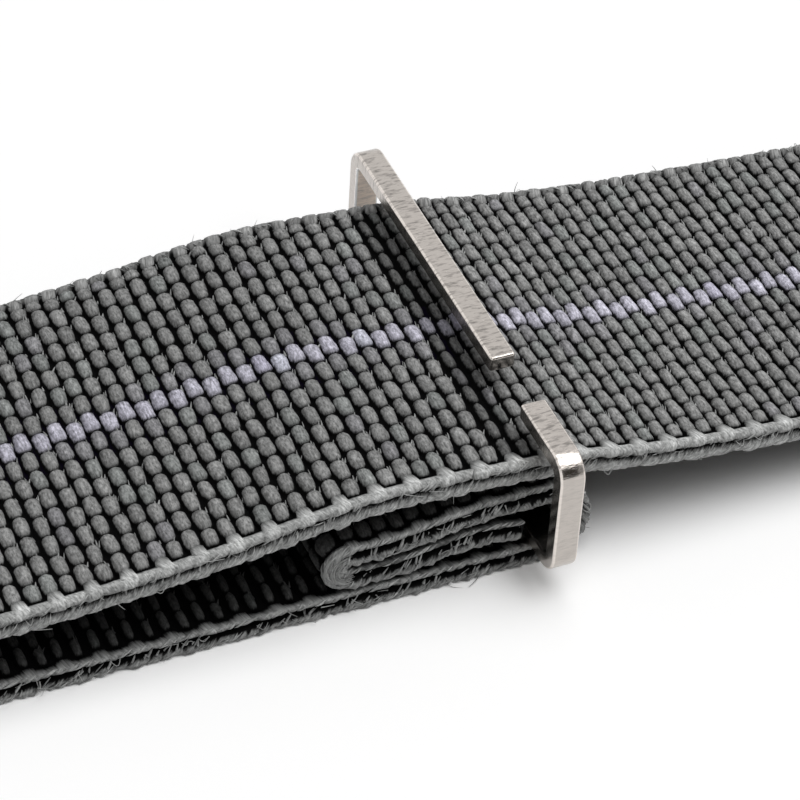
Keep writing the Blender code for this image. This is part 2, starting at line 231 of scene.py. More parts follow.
# Selvedge ropes. Pairs are for the upper layer and the lower one, or run from none to all of a
# bulge, a lump or a turn
ROPE_ANGLES = np.radians((140, 104, 68, 30, -12, -70))
ROPE_FLOAT_SHARE = 0.86
ROPE_INNER = {1: 0.00962, -1: 0.00925}
ROPE_SLANT = 0.30
VALLEY_SLANT = 0.4
ROPE_TWIST = 0.00052
ROPE_LAY = 1.6
ROPE_WOBBLE = 1.5
ROPE_UNEVENNESS = 0.06
ROPE_SIZES = (0.92, 1.02)
REAR_ROPE_SIZES = (0.66, 1.08)
REAR_ROPE_SHARE = 0.75
BULGE_POWER = 0.7
LUMP_REACH = 0.00030
LUMP_SIZE = 0.16
FAINT_LUMP = 0.3
RAGGED_WAVES = ((2.3, 0.40), (5.1, 0.35), (11.7, 0.25))
RAGGED_SHARES = (0.12, 0.34)
RAGGED_SWAY = 0.00012
STRAND_SHARES_OF_TWIST = (0.35, 1.0)
STRAND_SWELL = 0.15
STRAND_GROOVES = (0.28, 0.42)
ROPE_HEADROOM = (0.00005, 0.0)
ROPE_RELIEFS = (0.80, 1.10)
REAR_RELIEFS = (0.45, 1.0)
INNER_DEPTHS = (0.85, 0.25)
INNER_RELIEF = 0.16
INNER_BULGE_RELIEF = 0.40
INNER_LUMP_RELIEF = 0.50
SEAM_SIDE_RELIEFS = (0.22, 0.10)
# Painted shade: the lower layer's ropes darker than the upper layer's
ROPE_LAYER_PAINTED_SHADES = (1.0, 0.84)
ROPE_SHADE_SPREAD = 0.06
LUMP_SHADES = (0.93, 1.19)
# Painted light on the upper layer's inner rope, seen below the seam
UNDER_ROPE_PAINTED_LIGHT = 1.25
# Painted shade on the lower layers' upward ropes, inside the loop
LOWER_UP_PAINTED_SHADE = 0.16
WOUND_SHARES = (0.85, 0.5)
ROPE_NOISE_START = 70.0
ROPE_NOISE_STEPS = (9, 3)
# On the upper layer's outer face and on its inner one
ROPE_RISES = (0.00007, 0.00013)

# Thickness of the ropes, the seam between them, and the yarn where it is folded or pressed; painted shade on
# the flap's rope under the strand and on the sewn tail under the layer above
UNDER_SWELL = 0.38
LOWER_THINNING = 0.52
PAST_HEM_THINNING = 0.12
SEAM_DEPTH = 0.00055
SEAM_FILL = 0.45
SEAM_LIFT = 0.75
SEAM_RISE = 0.00009
SEAM_RELIEF = 0.6
HEM_REACH = 1.7
# Painted shade on the flap's rope, which lies under the strand
UNDER_STRAND_PAINTED_SHADE = 0.50
# Painted shade on the ring tail's sewn end, which lies under the layer above, from this far before its hem
SEWN_TAIL_PAINTED_SHADE = 0.30
TAIL_SHADE_LENGTH = 0.0100

# Stray fibres: even ranges, or a mean and a spread, in millimetres, degrees or shares
FIBRE_POINTS = 6
FIBRE_STEPS = np.linspace(0, 1, FIBRE_POINTS)[None, :]
FIBRE_SIDES = 3
FIBRE_SHADE = 1.1
FIBRE_SHADE_SPREAD = 0.20
FIBRE_SHADE_LIMITS = (0.5, 1.6)
FIBRE_NOISE_STEP = 3.7
FIBRE_FOOT = 0.00006
WRAP_START_TURNS = (70, 140)
WRAP_END_TURNS = (0, 60)
WRAP_DEPTHS = (0.86, 1.08)
WRAP_LAY = (0.62, 0.22)
WRAP_THICKNESSES = (0.7, 1.5)
WRAP_TAPER = (0.06, 0.94)
CROSSING_REACHES = (0.35, 0.75)
CROSSING_START = 0.34
CROSSING_BOWS = (-0.02, 0.06)
CROSSING_DEPTH = 0.12
CROSSING_LAY = (0.34, 0.14)
CROSSING_TAPER = (0.16, 0.90)
LOOP_BOWS = (0.10, 0.42)
LOOP_TURN = (0, 45)
LOOP_PLACES = (-0.45, 0.45)
LOOP_LENGTHS = (0.2, 0.7)
LOOP_THICKNESSES = (0.22, 0.42)
LOOSE_REACHES = (0.12, 0.60)
LOOSE_CURVE = 1.3
LOOSE_TURN = (0, 55)
LOOSE_PLACES = (-0.5, 0.5)
LOOSE_SLIDE = (0, 0.5)
LOOSE_THICKNESSES = (0.4, 0.9)
LOOSE_THINNING = 0.7
HEM_FIBRES = 110
HEM_FIBRE_TURNS = (0.5, 1.9)
HEM_FIBRE_CLOSING = 0.25
HEM_FIBRE_BOWS = (0.0, 0.12)
HEM_FIBRE_THICKNESSES = (0.6, 1.2)
HEM_FIBRE_TAPER = (0.08, 0.92)
CUT_END_FIBRES = 220
CUT_END_REACHES = (0.08, 0.24)
CUT_END_DEPTH = 0.05
CUT_END_DRIFT = (0, 0.08)
CUT_END_LIFT = (0, 0.05)
CUT_END_THICKNESSES = (0.4, 0.9)
CUT_END_THINNING = 0.5
# Share of the odd columns' floats with a fibre there, line across the band, and place along the float
HORN_SPOTS = ((0.60, 5, 1), (0.50, 5, 2), (0.30, 4, 1), (0.25, 6, 2))
EVEN_HORN_SHARE = 0.2
HORN_SHADE = 0.72
HORN_SLIDE = (0.05, 0.06)
HORN_LENGTHS = (0.12, 0.34)
HORN_START = 0.08
HORN_SINK = 0.03
HORN_RISES = (0.02, 0.14)
HORN_ARCH = 0.6
HORN_THICKNESSES = (0.8, 1.5)
HORN_THINNING = 0.8

# Sewing: sizes in metres, and how far stitches drift across and along the band, in millimetres
STITCH_POINTS = 9
STITCH_SIDES = 8
STITCH_GAP = 0.00035
STITCH_MARGIN = 0.0014
STITCH_DIVE = 0.00035
STITCH_BEND = 0.18
STITCH_SINK = 0.00006
STITCH_DRIFTS = (0.05, 0.03)
FIRST_SEAM_SEED = 100
# Rows of stitches in each seam: distances before the end of the stretch whose outer face shows them
SEAMS = (
    ("ring_tail_stitches", (("woven_ring_tail", (0.0120, 0.0165, 0.0308, 0.0353)),)),
    ("catch_tail_stitches", (("woven_catch_turn", (0.0120, 0.0165)), ("woven_seat", (0.0039, 0.0084)))),
)

# The band's pieces in order along the strip: name, body or bodies, and node
UPPER_PIECES = (
    ("woven_top_run", ("loop_end", "slider"), "band_top_run"),
    ("woven_crossing", ("slider",), "band_crossing"),
    ("woven_feed_run", ("slider", "catch_end"), "band_feed_run"),
    ("woven_seat", ("catch_end",), "band_end_run"),
)
CATCH_PIECE = ("woven_catch_turn", ("catch_end",), "band_end_run")
LOWER_PIECES = (
    ("woven_hook_turn", ("loop_end",), "band_hook_turn"),
    ("woven_bottom_run", ("loop_end", "slider"), "band_bottom_run"),
    ("woven_ring_tail", ("slider",), "band_ring_tail"),
)

# Texture maps, as shares of their width: the band's walls and its two ends, one tube's walls and caps,
# and one tube's room in its cell
MAP_WALLS = (0.02, 0.98)
MAP_END_WIDTH = 0.014
MAP_END_STARTS = (0.001, 0.985)
TUBE_MAP_WALLS = (0.15, 0.85)
TUBE_MAP_CAPS = (0.06, 0.94)
TUBE_MAP_CAP_SIZE = (0.3, 0.05)
TUBE_MAP_CELL = (0.1, 0.9)

# How upright a line has to be for its section to start from the Y axis
STEEP = 0.9

# What a woven grid holds for each point
GRID_PARTS = ("along", "across", "height", "relief", "colour", "yarn")

# Kinds of point attribute by how many numbers each value has, and the colour mix's sockets
ATTRIBUTE_KINDS = {1: ("FLOAT", "value"), 3: ("FLOAT_VECTOR", "vector"), 4: ("FLOAT_COLOR", "color")}
MIX_COLOUR_INPUTS = (0, 6, 7)
MIX_COLOUR_OUTPUT = 2

# Finishes. A noise has its scale along three directions, its detail and its roughness; tones are the
# darkest and the brightest; a bump has its strength and its depth in metres
YARN_FIBRE_NOISE = ((11.0, 3.4, 1.0), 4.0, 0.72)
YARN_MOTTLE_NOISE = ((6.0, 5.0, 1.0), 3.0)
YARN_EDGE_FRAY = 0.14
YARN_COVER_RANGE = (0.25, 0.52)
YARN_STREAK_TONES = (0.42, 1.60)
YARN_PATCH_TONES = (0.74, 1.26)
# Painted shade and highlight on each float: lighter on its crown, darker down its flanks
YARN_CROWN_SHADE_START = 0.30
YARN_CROWN_PAINTED_SHADE = (0.55, 1.28)
GROUND_ROUGHNESS = 0.95
YARN_ROUGHNESS = 0.72
YARN_GLOSS = 0.06
YARN_BUMP = (0.8, 0.00005)
LOOSE_FIBRE_NOISE = ((1.0, 5.0, 1.0), 2.0)
LOOSE_FIBRE_TONES = (0.75, 1.25)
LOOSE_FIBRE_ROUGHNESS = 0.7
LOOSE_FIBRE_GLOSS = 0.2
THREAD_NOISE = ((9000.0, 9000.0, 9000.0), 2.0)
THREAD_TONES = (0.7, 1.25)
THREAD_ROUGHNESS = 0.8
THREAD_GLOSS = 0.25
THREAD_BUMP = (0.3, 0.00002)
# Steel: deep marks, fine brushing and slow clouds; rolled edges lighter, partly polished by wear and partly
# a painted highlight
STEEL_NOISES = (((7.5, 1.7, 1.0), 5.0, 0.6), ((38.0, 1.6, 1.0), 3.0, 0.6), ((0.7, 0.9, 1.0), 2.0))
MARK_RANGE = (0.34, 0.52)
MARK_DARKNESS = 0.52
MARK_DEPTH = 0.8
BRUSH_TONES = (0.92, 1.07)
BRUSH_DEPTH = 0.25
EDGE_WEAR_AND_HIGHLIGHT = 0.50
EDGE_POLISH = 0.04
CLOUD_ROUGHNESS = 0.05
INNER_ROUGHNESS = 0.75
STEEL_BUMP = (0.5, 0.00004)

# The stage
FLOOR_SIZE = 6
FLOOR_SHOWN = (1.20, 1.20, 1.20)
KEY_SIZE = 3.0
KEY_DISTANCE = 3.0
KEY_WAY = Vector((0.29, -0.16, 0.94)).normalized()
CARD_SIZE = (0.60, 1.02)
CARD_CENTRE = (0.35, -0.95, 0.47)
CARD_COLOUR = (0.035, 0.027, 0.018, 1)
CARD_TURN = math.radians(65)
SENSOR_WIDTH = 36
NEAREST_SEEN = 0.01


def length_setting(name, description, default, low, high):
    """Setting for a length in metres."""
    return FloatProperty(
        name=name, description=description, default=default, min=low, max=high,
        precision=6, unit="LENGTH", subtype="DISTANCE")


def angle_setting(name, description, degrees):
    """Setting for an angle."""
    return FloatProperty(
        name=name, description=description, default=math.radians(degrees), subtype="ANGLE", unit="ROTATION")


def share_setting(name, description, default):
    """Setting for a share, from 0 to 1."""
    return FloatProperty(name=name, description=description, default=default, min=0, max=1, subtype="FACTOR")


def rate_setting(name, description, default):
    """Setting for a number of fibres along each millimetre of the band."""
    return FloatProperty(name=name, description=description + ", per millimetre", default=default, min=0)


def colour_setting(name, description, default):
    """Setting for a colour."""
    return FloatVectorProperty(
        name=name, description=description, default=default, min=0, max=1, subtype="COLOR")


def seed_setting(description, default):
    """Setting for the start of random draws."""
    return IntProperty(name="Seed", description=description, default=default, min=0)


class StrapBandSettings(bpy.types.PropertyGroup):
    """Sizes and colours of the woven band."""
    row_pitch: length_setting(
        "Row pitch", "Distance between two rows of floats, across the band", 0.0012896, 0.0005, 0.003)
    float_height: length_setting(
        "Float height", "How far a yarn float stands above the ground weave", 0.00034, 0.0001, 0.0006)
    valley_depth: length_setting(
        "Valley depth", "Depth of the gap between two columns below the floats' feet", 0.00010, 0.0, 0.0003)
    rope_radius: length_setting(
        "Selvedge rope", "Radius of the thicker rope of yarn along each selvedge", 0.00028, 0.0001, 0.0006)
    yarn: colour_setting("Yarn", "Colour of the grey floats", (0.245, 0.246, 0.243))
    stripe: colour_setting("Stripe", "Colour of the pale row along the middle", (0.47, 0.46, 0.53))
    rope: colour_setting("Selvedge", "Colour of the selvedge ropes", (0.37, 0.375, 0.37))
    ground_share: share_setting(
        "Ground", "How bright the ground weave is between the floats, as a share of the yarn", 0.012)
    seed: seed_setting("Start of the random draws that make each float a little different", 7)


class StrapFibreSettings(bpy.types.PropertyGroup):
    """Stray fibres along the band's edges, and the thread that its tails are sewn with."""
    wraps: rate_setting("Wraps", "Fibres wound round each selvedge rope", 3.2)
    crossings: rate_setting("Crossings", "Fibres that cross the seam between two ropes", 1.5)
    loops: rate_setting("Loops", "Fine loops that stand out from each edge", 0.4)
    loose_ends: rate_setting("Loose ends", "Fine broken fibres along each edge", 0.9)
    radius: length_setting("Fibre", "Radius of the thickest stray fibres", 0.000055, 0.00001, 0.0001)
    stitch_length: length_setting("Stitch", "Length of one stitch across the band", 0.0019, 0.0005, 0.004)
    thread_radius: length_setting("Thread", "Radius of the sewing thread", 0.00011, 0.00005, 0.0003)
    thread: colour_setting("Thread colour", "Colour of the sewing thread", (0.13, 0.132, 0.135))
    seed: seed_setting("Start of the random draws that place the fibres", 11)


class StrapMetalSettings(bpy.types.PropertyGroup):
    """Sizes and finish of the ring and the clasp pieces."""
    strip_thickness: length_setting(
        "Strip thickness", "Thickness of the flat strip that the ring is bent from", 0.00085, 0.0004, 0.0015)
    strip_rounding: length_setting(
        "Strip rounding", "Radius of the strip's long edges", 0.00013, 0.00002, 0.0004)
    plate_thickness: length_setting(
        "Plate thickness", "Thickness of the hook's and the catch's plate", 0.0010, 0.0005, 0.002)
    plate_rounding: length_setting(
        "Plate rounding", "Radius of the plates' edges", 0.00018, 0.00002, 0.0004)
    gap_width: length_setting("Ring gap", "Width of the slit in the ring's upper side", 0.0033, 0.001, 0.006)
    gap_place: length_setting(
        "Ring gap place", "Middle of the slit, from the middle of the ring", -0.00625, -0.01, 0.01)
    colour: colour_setting("Steel", "Colour of the satin steel", (0.50, 0.463, 0.43))
    roughness: share_setting("Roughness", "Roughness of the satin faces", 0.17)


class StrapStageSettings(bpy.types.PropertyGroup):
    """Camera, floor and lamps."""
    view_azimuth: angle_setting(
        "Azimuth", "Direction of view round the strap, from straight along +Y", 25.467)
    view_elevation: angle_setting("Elevation", "Height of the camera above the horizon", 42.011)
    view_roll: angle_setting("Roll", "Turn of the camera about its own axis", 3.860)
    view_distance: length_setting(
        "Distance", "From the camera to the point it looks at", 0.16642, 0.05, 1.0)
    view_target: FloatVectorProperty(
        name="Target", description="Point the camera looks at, from the middle of the ring on the table",
        default=(-0.003586, -0.001273, 0.004), precision=5, unit="LENGTH", subtype="TRANSLATION")
    lens: FloatProperty(
        name="Lens", description="Focal length on a 36 mm sensor, in millimetres",
        default=156.87, min=20, unit="CAMERA")
    sky: FloatProperty(
        name="Sky", description="Strength of the even light from all round",
        default=0.20, min=0)
    key: FloatProperty(
        name="Key lamp", description="Power of the large lamp above and to the right",
        default=82.0, min=0, unit="POWER")
    floor: colour_setting("Floor", "Colour of the floor", (0.70, 0.70, 0.70))


def arc(centre, radius, start, end, steps=ARC_STEPS):
    """Points on an arc, both ends included; angles in degrees."""
    angles = [math.radians(start + (end - start) * i / steps) for i in range(steps + 1)]
    return [(centre[0] + radius * math.cos(a), centre[1] + radius * math.sin(a)) for a in angles]


def smooth(knots, first_slope=None, last_slope=None, steps=SPAN_STEPS):
    """Smooth curve through knots whose first coordinate runs steadily one way."""
    slopes = []
    for i in range(len(knots)):
        before = knots[max(i - 1, 0)]
        after = knots[min(i + 1, len(knots) - 1)]
        slopes.append((after[1] - before[1]) / (after[0] - before[0]))
    if first_slope is not None:
        slopes[0] = first_slope
    if last_slope is not None:
        slopes[-1] = last_slope
    points = []
    for i in range(len(knots) - 1):
        (x0, z0), (x1, z1) = knots[i], knots[i + 1]
        for k in range(steps):
            t = k / steps
            z = (
                (2 * t**3 - 3 * t**2 + 1) * z0
                + (t**3 - 2 * t**2 + t) * (x1 - x0) * slopes[i]
                + (3 * t**2 - 2 * t**3) * z1
                + (t**3 - t**2) * (x1 - x0) * slopes[i + 1]
            )
            points.append((x0 + (x1 - x0) * t, z))
    return points + [knots[-1]]


class MiddleLine:
    """Middle line of the band, seen from the side, or of the ring's strip, measured by its length."""

    def __init__(self, points):
        points = np.array(points)
        kept = np.concatenate(([True], np.hypot(*np.diff(points, axis=0).T) > SAME_POINT))
        self.points = points[kept]
        steps = np.diff(self.points, axis=0)
        sizes = np.hypot(*steps.T)
        self.lengths = np.concatenate(([0.0], np.cumsum(sizes)))
        ways = steps / sizes[:, None]
        ways = np.vstack((ways[:1], (ways[:-1] + ways[1:]) / 2, ways[-1:]))
        self.ways = ways / np.hypot(*ways.T)[:, None]

    def place(self, length, height):
        """Both coordinates of points at a length along the line and a height over it."""
        x, z = (np.interp(length, self.lengths, self.points[:, i]) for i in (0, 1))
        way_x, way_z = (np.interp(length, self.lengths, self.ways[:, i]) for i in (0, 1))
        size = np.hypot(way_x, way_z)
        return x - height * way_z / size, z + height * way_x / size

    def length_at(self, x):
        """Length at X, on a line or a first part of one that runs steadily to the right."""
        last = int(np.argmax(self.points[:, 0]))
        return np.interp(x, self.points[: last + 1, 0], self.lengths[: last + 1])

    def leftmost(self, after):
        """Length at the leftmost point past a given length: the fold of a hem."""
        first = int(np.searchsorted(self.lengths, after))
        return float(self.lengths[first + np.argmin(self.points[first:, 0])])


def upper_layer():
    """Middle line of the upper layer, from the hook turn to the catch turn."""
    turn_middle = BAR_HEIGHT + TURN_RADIUS
    hump = HUMP_TOP - BAND_THICK / 2
    low = RUN_LOW_TOP - BAND_THICK / 2
    stack = FLOOR_LAYER + 2 * HEM_RADIUS + BAND_THICK + TAIL_GAP
    knots = [(-LEAD_REACH, turn_middle)]
    knots += [(-LOOP_REACH * x, turn_middle + (hump - turn_middle) * z) for x, z in LEFT_SHARES]
    knots += [(FEED_END * x, low + (hump - low) * z) for x, z in RIGHT_SHARES]
    rise = [(SEAT_END, low), (CATCH_TAIL_START, stack), (END_REACH, turn_middle)]
    return smooth(knots, 0, 0) + smooth(rise, 0, 0)


def upper_line():
    """The upper layer, the turn round the catch bar and the tail sewn back under it."""
    points = upper_layer()
    points += arc((END_REACH, BAR_HEIGHT), TURN_RADIUS, 90, -90)
    points += arc((CATCH_TAIL_START, FLOOR_LAYER + HEM_RADIUS), HEM_RADIUS, 270, 90)
    points.append((END_REACH - CATCH_FLAP_END, FLOOR_LAYER + 2 * HEM_RADIUS))
    return MiddleLine(points)


def lower_line(start):
    """From the top run's left end round the hook bar, along the table, and round the ring's bar."""
    upper = MiddleLine(upper_layer())
    height = float(upper.place(upper.length_at(start), 0.0)[1])
    points = [(start, height), (-LEAD_REACH, BAR_HEIGHT + TURN_RADIUS)]
    points += arc((-LOOP_REACH, BAR_HEIGHT), TURN_RADIUS, 90, 270)
    turn_radius = (RING_TURN_TOP - BAND_THICK) / 2
    over = FLOOR_LAYER + 2 * turn_radius
    flap = FLOOR_LAYER + BAND_THICK + TAIL_GAP
    strand = flap + 2 * HEM_RADIUS
    rise = over - strand
    points += arc((RING_TURN_OFFSET, FLOOR_LAYER + turn_radius), turn_radius, -90, 90)[:-1]
    knots = [(RING_TURN_OFFSET, over)]
    knots += [(-TAIL_LENGTH * x, strand + rise * z) for x, z in STRAND_SHARES]
    points += smooth(knots + [(-TAIL_LENGTH, strand)], 0, 0)[:-1]
    points += arc((-TAIL_LENGTH, flap + HEM_RADIUS), HEM_RADIUS, 90, 270)[:-1]
    knots = [(-TAIL_LENGTH, flap)]
    knots += [(-TAIL_LENGTH * x, flap + rise * z) for x, z in FLAP_SHARES]
    points += smooth(knots + [(-FLAP_END, flap + rise * FLAP_END_SHARE)], 0)
    return MiddleLine(points)


def column_edge(index):
    """X of the left edge of an upper-layer column, counted over the loop side and the feed side."""
    if index <= LAST_LOOP_COLUMN + 1:
        return LOOP_COLUMN_ORIGIN + LOOP_COLUMN * (index - 0.5)
    last_loop_edge = LOOP_COLUMN_ORIGIN + LOOP_COLUMN * (LAST_LOOP_COLUMN + 0.5)
    first_feed_edge = FEED_COLUMN_ORIGIN + FEED_COLUMN * (FIRST_FEED_COLUMN - 0.5)
    past = index - LAST_LOOP_COLUMN - 1
    if past < BUNCHED_COLUMNS:
        return last_loop_edge + (first_feed_edge - last_loop_edge) * past / BUNCHED_COLUMNS
    return first_feed_edge + FEED_COLUMN * (past - BUNCHED_COLUMNS)


def column_near(x):
    """Index of the upper-layer column whose left edge is nearest to X."""
    return min(COLUMN_RANGE, key=lambda index: abs(column_edge(index) - x))


def zone_share(x):
    """0 on the loop side of the ring, 1 on its feed side, changing smoothly at the hump."""
    t = np.clip((x + SIDE_CHANGE) / (2 * SIDE_CHANGE), 0, 1)
    return t * t * (3 - 2 * t)


def between(pair, share):
    """Value at a share of the way from the first of a pair to the second."""
    return pair[0] + (pair[1] - pair[0]) * share


def rounded(t, power):
    """Outline of a float, from 0 at its ends to 1 at its middle; a high power is a squarer end."""
    return (1 - np.abs(2 * t - 1) ** power) ** (1 / power)


def yield_share(t, odd, stagger, at_valley=False):
    """How far a float may pass its column's edge, where the float beside it is narrow.

    At a valley it is how far the gap itself sways, as a share of the column: towards the
    column whose floats are narrow there.
    """
    side = np.where(odd, -1.0, 1.0) * stagger
    places = (t + side / 2, t - side / 2) if at_valley else (t, t + side)
    own, other = (np.maximum(rounded(np.mod(place, 1.0), NECK_POWER), NECK_SHARE) for place in places)
    return (other - (own if at_valley else 1)) * (SWAY_SHARE if at_valley else -SWAY_SHARE)


class Stretch:
    """One stretch of the band: its line, the edges of its columns and how it meets the rest."""

    def __init__(self, piece, line, edges, first_column, outer, zones, seed, span=None, hem=None):
        self.name, self.bodies, self.node = piece
        self.line = line
        self.edges = np.array(edges)
        self.outer = outer
        self.zones = np.array(zones)
        self.seed = seed
        self.span = span
        self.hem = hem
        self.columns = len(edges) - 1
        self.count_lines(first_column)

    def count_lines(self, first_column):
        """For each line across the band: its column, its place in it, and where the column lies."""
        self.column = np.append(np.repeat(np.arange(self.columns), LINES_PER_COLUMN), self.columns - 1)
        step = np.append(np.tile(np.arange(LINES_PER_COLUMN), self.columns), 0)
        self.valley = step == 0
        self.angle = FLOAT_ANGLES[np.maximum(step - 1, 0)]
        self.edge = np.append(np.repeat(self.edges[:-1], LINES_PER_COLUMN), self.edges[-1])
        self.zone = np.append(np.repeat(self.zones[:-1], LINES_PER_COLUMN), self.zones[-1])
        self.middle = ((self.edges[:-1] + self.edges[1:]) / 2)[self.column]
        self.pitch = np.diff(self.edges)[self.column]
        counted = first_column + self.column
        counted[-1] += 1
        self.odd = counted % 2 == 1
        self.odd_columns = (first_column + np.arange(self.columns)) % 2 == 1
        place = np.arange(len(step))
        self.free = np.clip(np.minimum(place, place[::-1]) / LINES_PER_COLUMN, 0, 1)

    def rope_places(self):
        """Where the lines of the selvedges lie along the band."""
        reach = self.pitch / 2 * ROPE_FLOAT_SHARE * np.cos(self.angle)
        return np.where(self.valley, self.edge, self.middle - reach)

    def surface(self, along, across, height):
        """Points in the world, from places along and across the band and over its middle line."""
        lean = self.outer * between(COLUMN_LEANS, np.interp(along, self.edges, self.zones))
        x, z = self.line.place(along + lean * across, self.outer * height)
        return np.stack((x + RING_X, across + 0 * x, z), -1)

    def facing_up(self, along, face):
        """1 where a face looks up, -1 where it looks down."""
        middle = np.zeros_like(along)
        low, high = (self.surface(along, middle, middle + rise)[..., 2] for rise in (0, MM))
        return (high - low) / MM * FACE_SIGNS[face]

    def hem_share(self, along):
        """1 in the fold of the hem, 0 away from it."""
        if self.hem is None:
            return np.zeros_like(along)
        return np.exp(-((along - self.hem) / (HEM_REACH * HEM_RADIUS)) ** 4)

    def past_hem(self, along, distance):
        """1 past a place before or after the fold of the ring tail's hem, 0 elsewhere."""
        if self.hem is None or self.outer > 0:
            return np.zeros_like(along)
        return np.clip((along - self.hem - distance) / HEM_RADIUS, 0, 1)

    def thickness_share(self, along, face):
        """Radius of a selvedge rope: thin and ragged on the lower layers' upper faces."""
        if self.outer > 0:
            return 1.0 + UNDER_SWELL * face + 0 * along
        up = np.clip(self.facing_up(along, face), 0, 1) * (1 - self.hem_share(along))
        return 1.0 - (LOWER_THINNING + PAST_HEM_THINNING * self.past_hem(along, HEM_RADIUS)) * up


def raggedness(along, draws):
    """Uneven thickness along a rope, about zero."""
    phases = draws.random(3) * 2 * math.pi
    waves = zip(RAGGED_WAVES, phases)
    return sum(size * np.sin(rate * along / MM + phase) for (rate, size), phase in waves)


def as_grid(along, across, height, relief, colour, noise):
    """Grid of one strip of the band's skin; noise is where its yarn's noise is read, in three parts."""
    yarn = np.stack([np.broadcast_to(part, across.shape) for part in noise], -1)
    return dict(zip(GRID_PARTS, (along, across, height, relief, colour, yarn)))


def weave_face(stretch, band, face, draws):
    """Grid of the floats on one face, and of the valleys between their columns."""
    column, odd, valley, zone, edge, middle, pitch, angle = (values[:, None] for values in (
        stretch.column, stretch.odd, stretch.valley, stretch.zone,
        stretch.edge, stretch.middle, stretch.pitch, stretch.angle))
    row = np.append(np.repeat(np.arange(ROW_COUNT), len(ROW_STEP_SHARES)), ROW_COUNT - 1)
    t = np.append(np.tile(ROW_STEP_SHARES, ROW_COUNT), 1.0)[None, :]
    stripe = (row == STRIPE_ROW)[None, :]
    cell = (column, row[None, :])
    shape = (stretch.columns, ROW_COUNT)
    grow, widen, drift, slide, twist, shade = (
        draws.normal(*spread, shape)[cell] for spread in FLOAT_SPREADS)
    hue = draws.random(shape)[cell]
    tone = draws.random(shape)[cell]

    stagger = between(STAGGER_SHARES, zone)
    power = np.where(odd, *OUTLINE_POWERS) + zone
    place = stretch.line.place(middle, 0.0)[0]
    crush = np.exp(-((place - CRUSH_PLACE) / CRUSH_REACH) ** 4) * (stretch.outer > 0)
    end_width = np.where(odd, END_WIDTH_SHARES[1], between(END_WIDTH_SHARES, zone))
    width = np.maximum(rounded(t, power), end_width)
    height = np.maximum(rounded(t, power + CROWN_SQUARER), END_HEIGHT_SHARE)
    taper = 1 + np.where(odd, *BARREL_TAPERS) * (1 - zone) * (1 - 2 * t)
    half = pitch * between(FLOAT_WIDTH_SHARES, zone) * width * widen * taper * np.where(odd, *COLUMN_SWELLS)
    room = pitch * (0.5 - between(GAP_SHARES, zone) / 2 + yield_share(t, odd, stagger))
    half = np.minimum(half * np.where(stripe, STRIPE_SWELL, 1.0) * (1 - CRUSH_NARROWING * crush), room)
    half = half * (BACK_WIDTH if face else 1.0)
    along = middle - half * np.cos(angle) + drift + twist * (t - 0.5)
    along = np.where(valley, edge + pitch * yield_share(t, odd, stagger, at_valley=True), along)

    spread = band.row_pitch * stagger
    shift = np.where(valley, 0.0, np.where(odd, -spread / 2, spread / 2))
    index = np.arange(ROW_COUNT + 1)[None, :] - STRIPE_ROW - 0.5
    ends = (between(ROW_OFFSET_SHARES, zone) - index) * band.row_pitch - spread / 2 + shift
    ends[:, 0] = REAR_ROW_END + shift[:, 0] / 2
    ends[:, -1] = -FRONT_ROW_END + shift[:, 0] / 2
    first, last = ends[:, row], ends[:, row + 1]
    across = first + (last - first) * t + np.where(valley, 0.0, slide * np.sin(np.pi * t))

    rise = band.float_height * np.sin(angle) * height * grow * np.where(stripe, STRIPE_RISE, 1.0)
    rise = np.where(valley, -band.valley_depth, rise)
    fade = np.clip(np.minimum(t, 1 - t) / END_FADE, 0, 1)
    relief = np.where(valley, 0.0, np.sin(angle) * np.minimum(height, fade))
    # Painted shade: the inner face shows less of its floats' yarn, and so do the ring's pressed columns,
    # partly from the pressing and partly as painted shadow of the ring
    relief = relief * (INNER_FACE_SHADE_RELIEF if face else 1.0) * (1 - CRUSH_AND_SHADOW_FLATTENING * crush)

    # Painted light and shade: the feed side lighter than the loop side, and the ring's pressed columns
    # darker, partly from the pressing and partly as painted shadow of the ring
    bright = shade * (1 - CRUSH_AND_SHADOW_DARKENING * crush) * between(SIDE_PAINTED_SHADES, zone)
    # Painted shade: the inner face, and the ring tail's sewn end that lies under the layer above, darker
    bright = bright * (INNER_FACE_PAINTED_SHADE if face else 1 - (1 - SEWN_TAIL_PAINTED_SHADE) * stretch.past_hem(along, -TAIL_SHADE_LENGTH))
    colour = np.where(stripe[..., None], np.array(band.stripe), np.array(band.yarn)) * bright[..., None]
    near_stripe = np.abs(row - STRIPE_ROW)[None, :] <= 1
    violet = hue < np.where(near_stripe & ~stripe, *VIOLET_SHARES)
    colour = colour * np.where((hue > 1 - GREEN_SHARE)[..., None], GREEN_TINT, 1.0)
    colour = colour * np.where(violet[..., None], VIOLET_TINT, 1.0)
    shadow = np.where(near_stripe[..., None], STRIPE_VALLEY_TINT, VALLEY_TINT)
    colour = np.where(valley[..., None], np.array(band.yarn) * shadow, colour)
    noise = (along / MM, across / MM, tone * FLOAT_NOISE_SPREAD + FACE_NOISE_STEP * face)
    return as_grid(along, across, BAND_THICK / 2 - band.float_height + rise, relief, colour, noise)


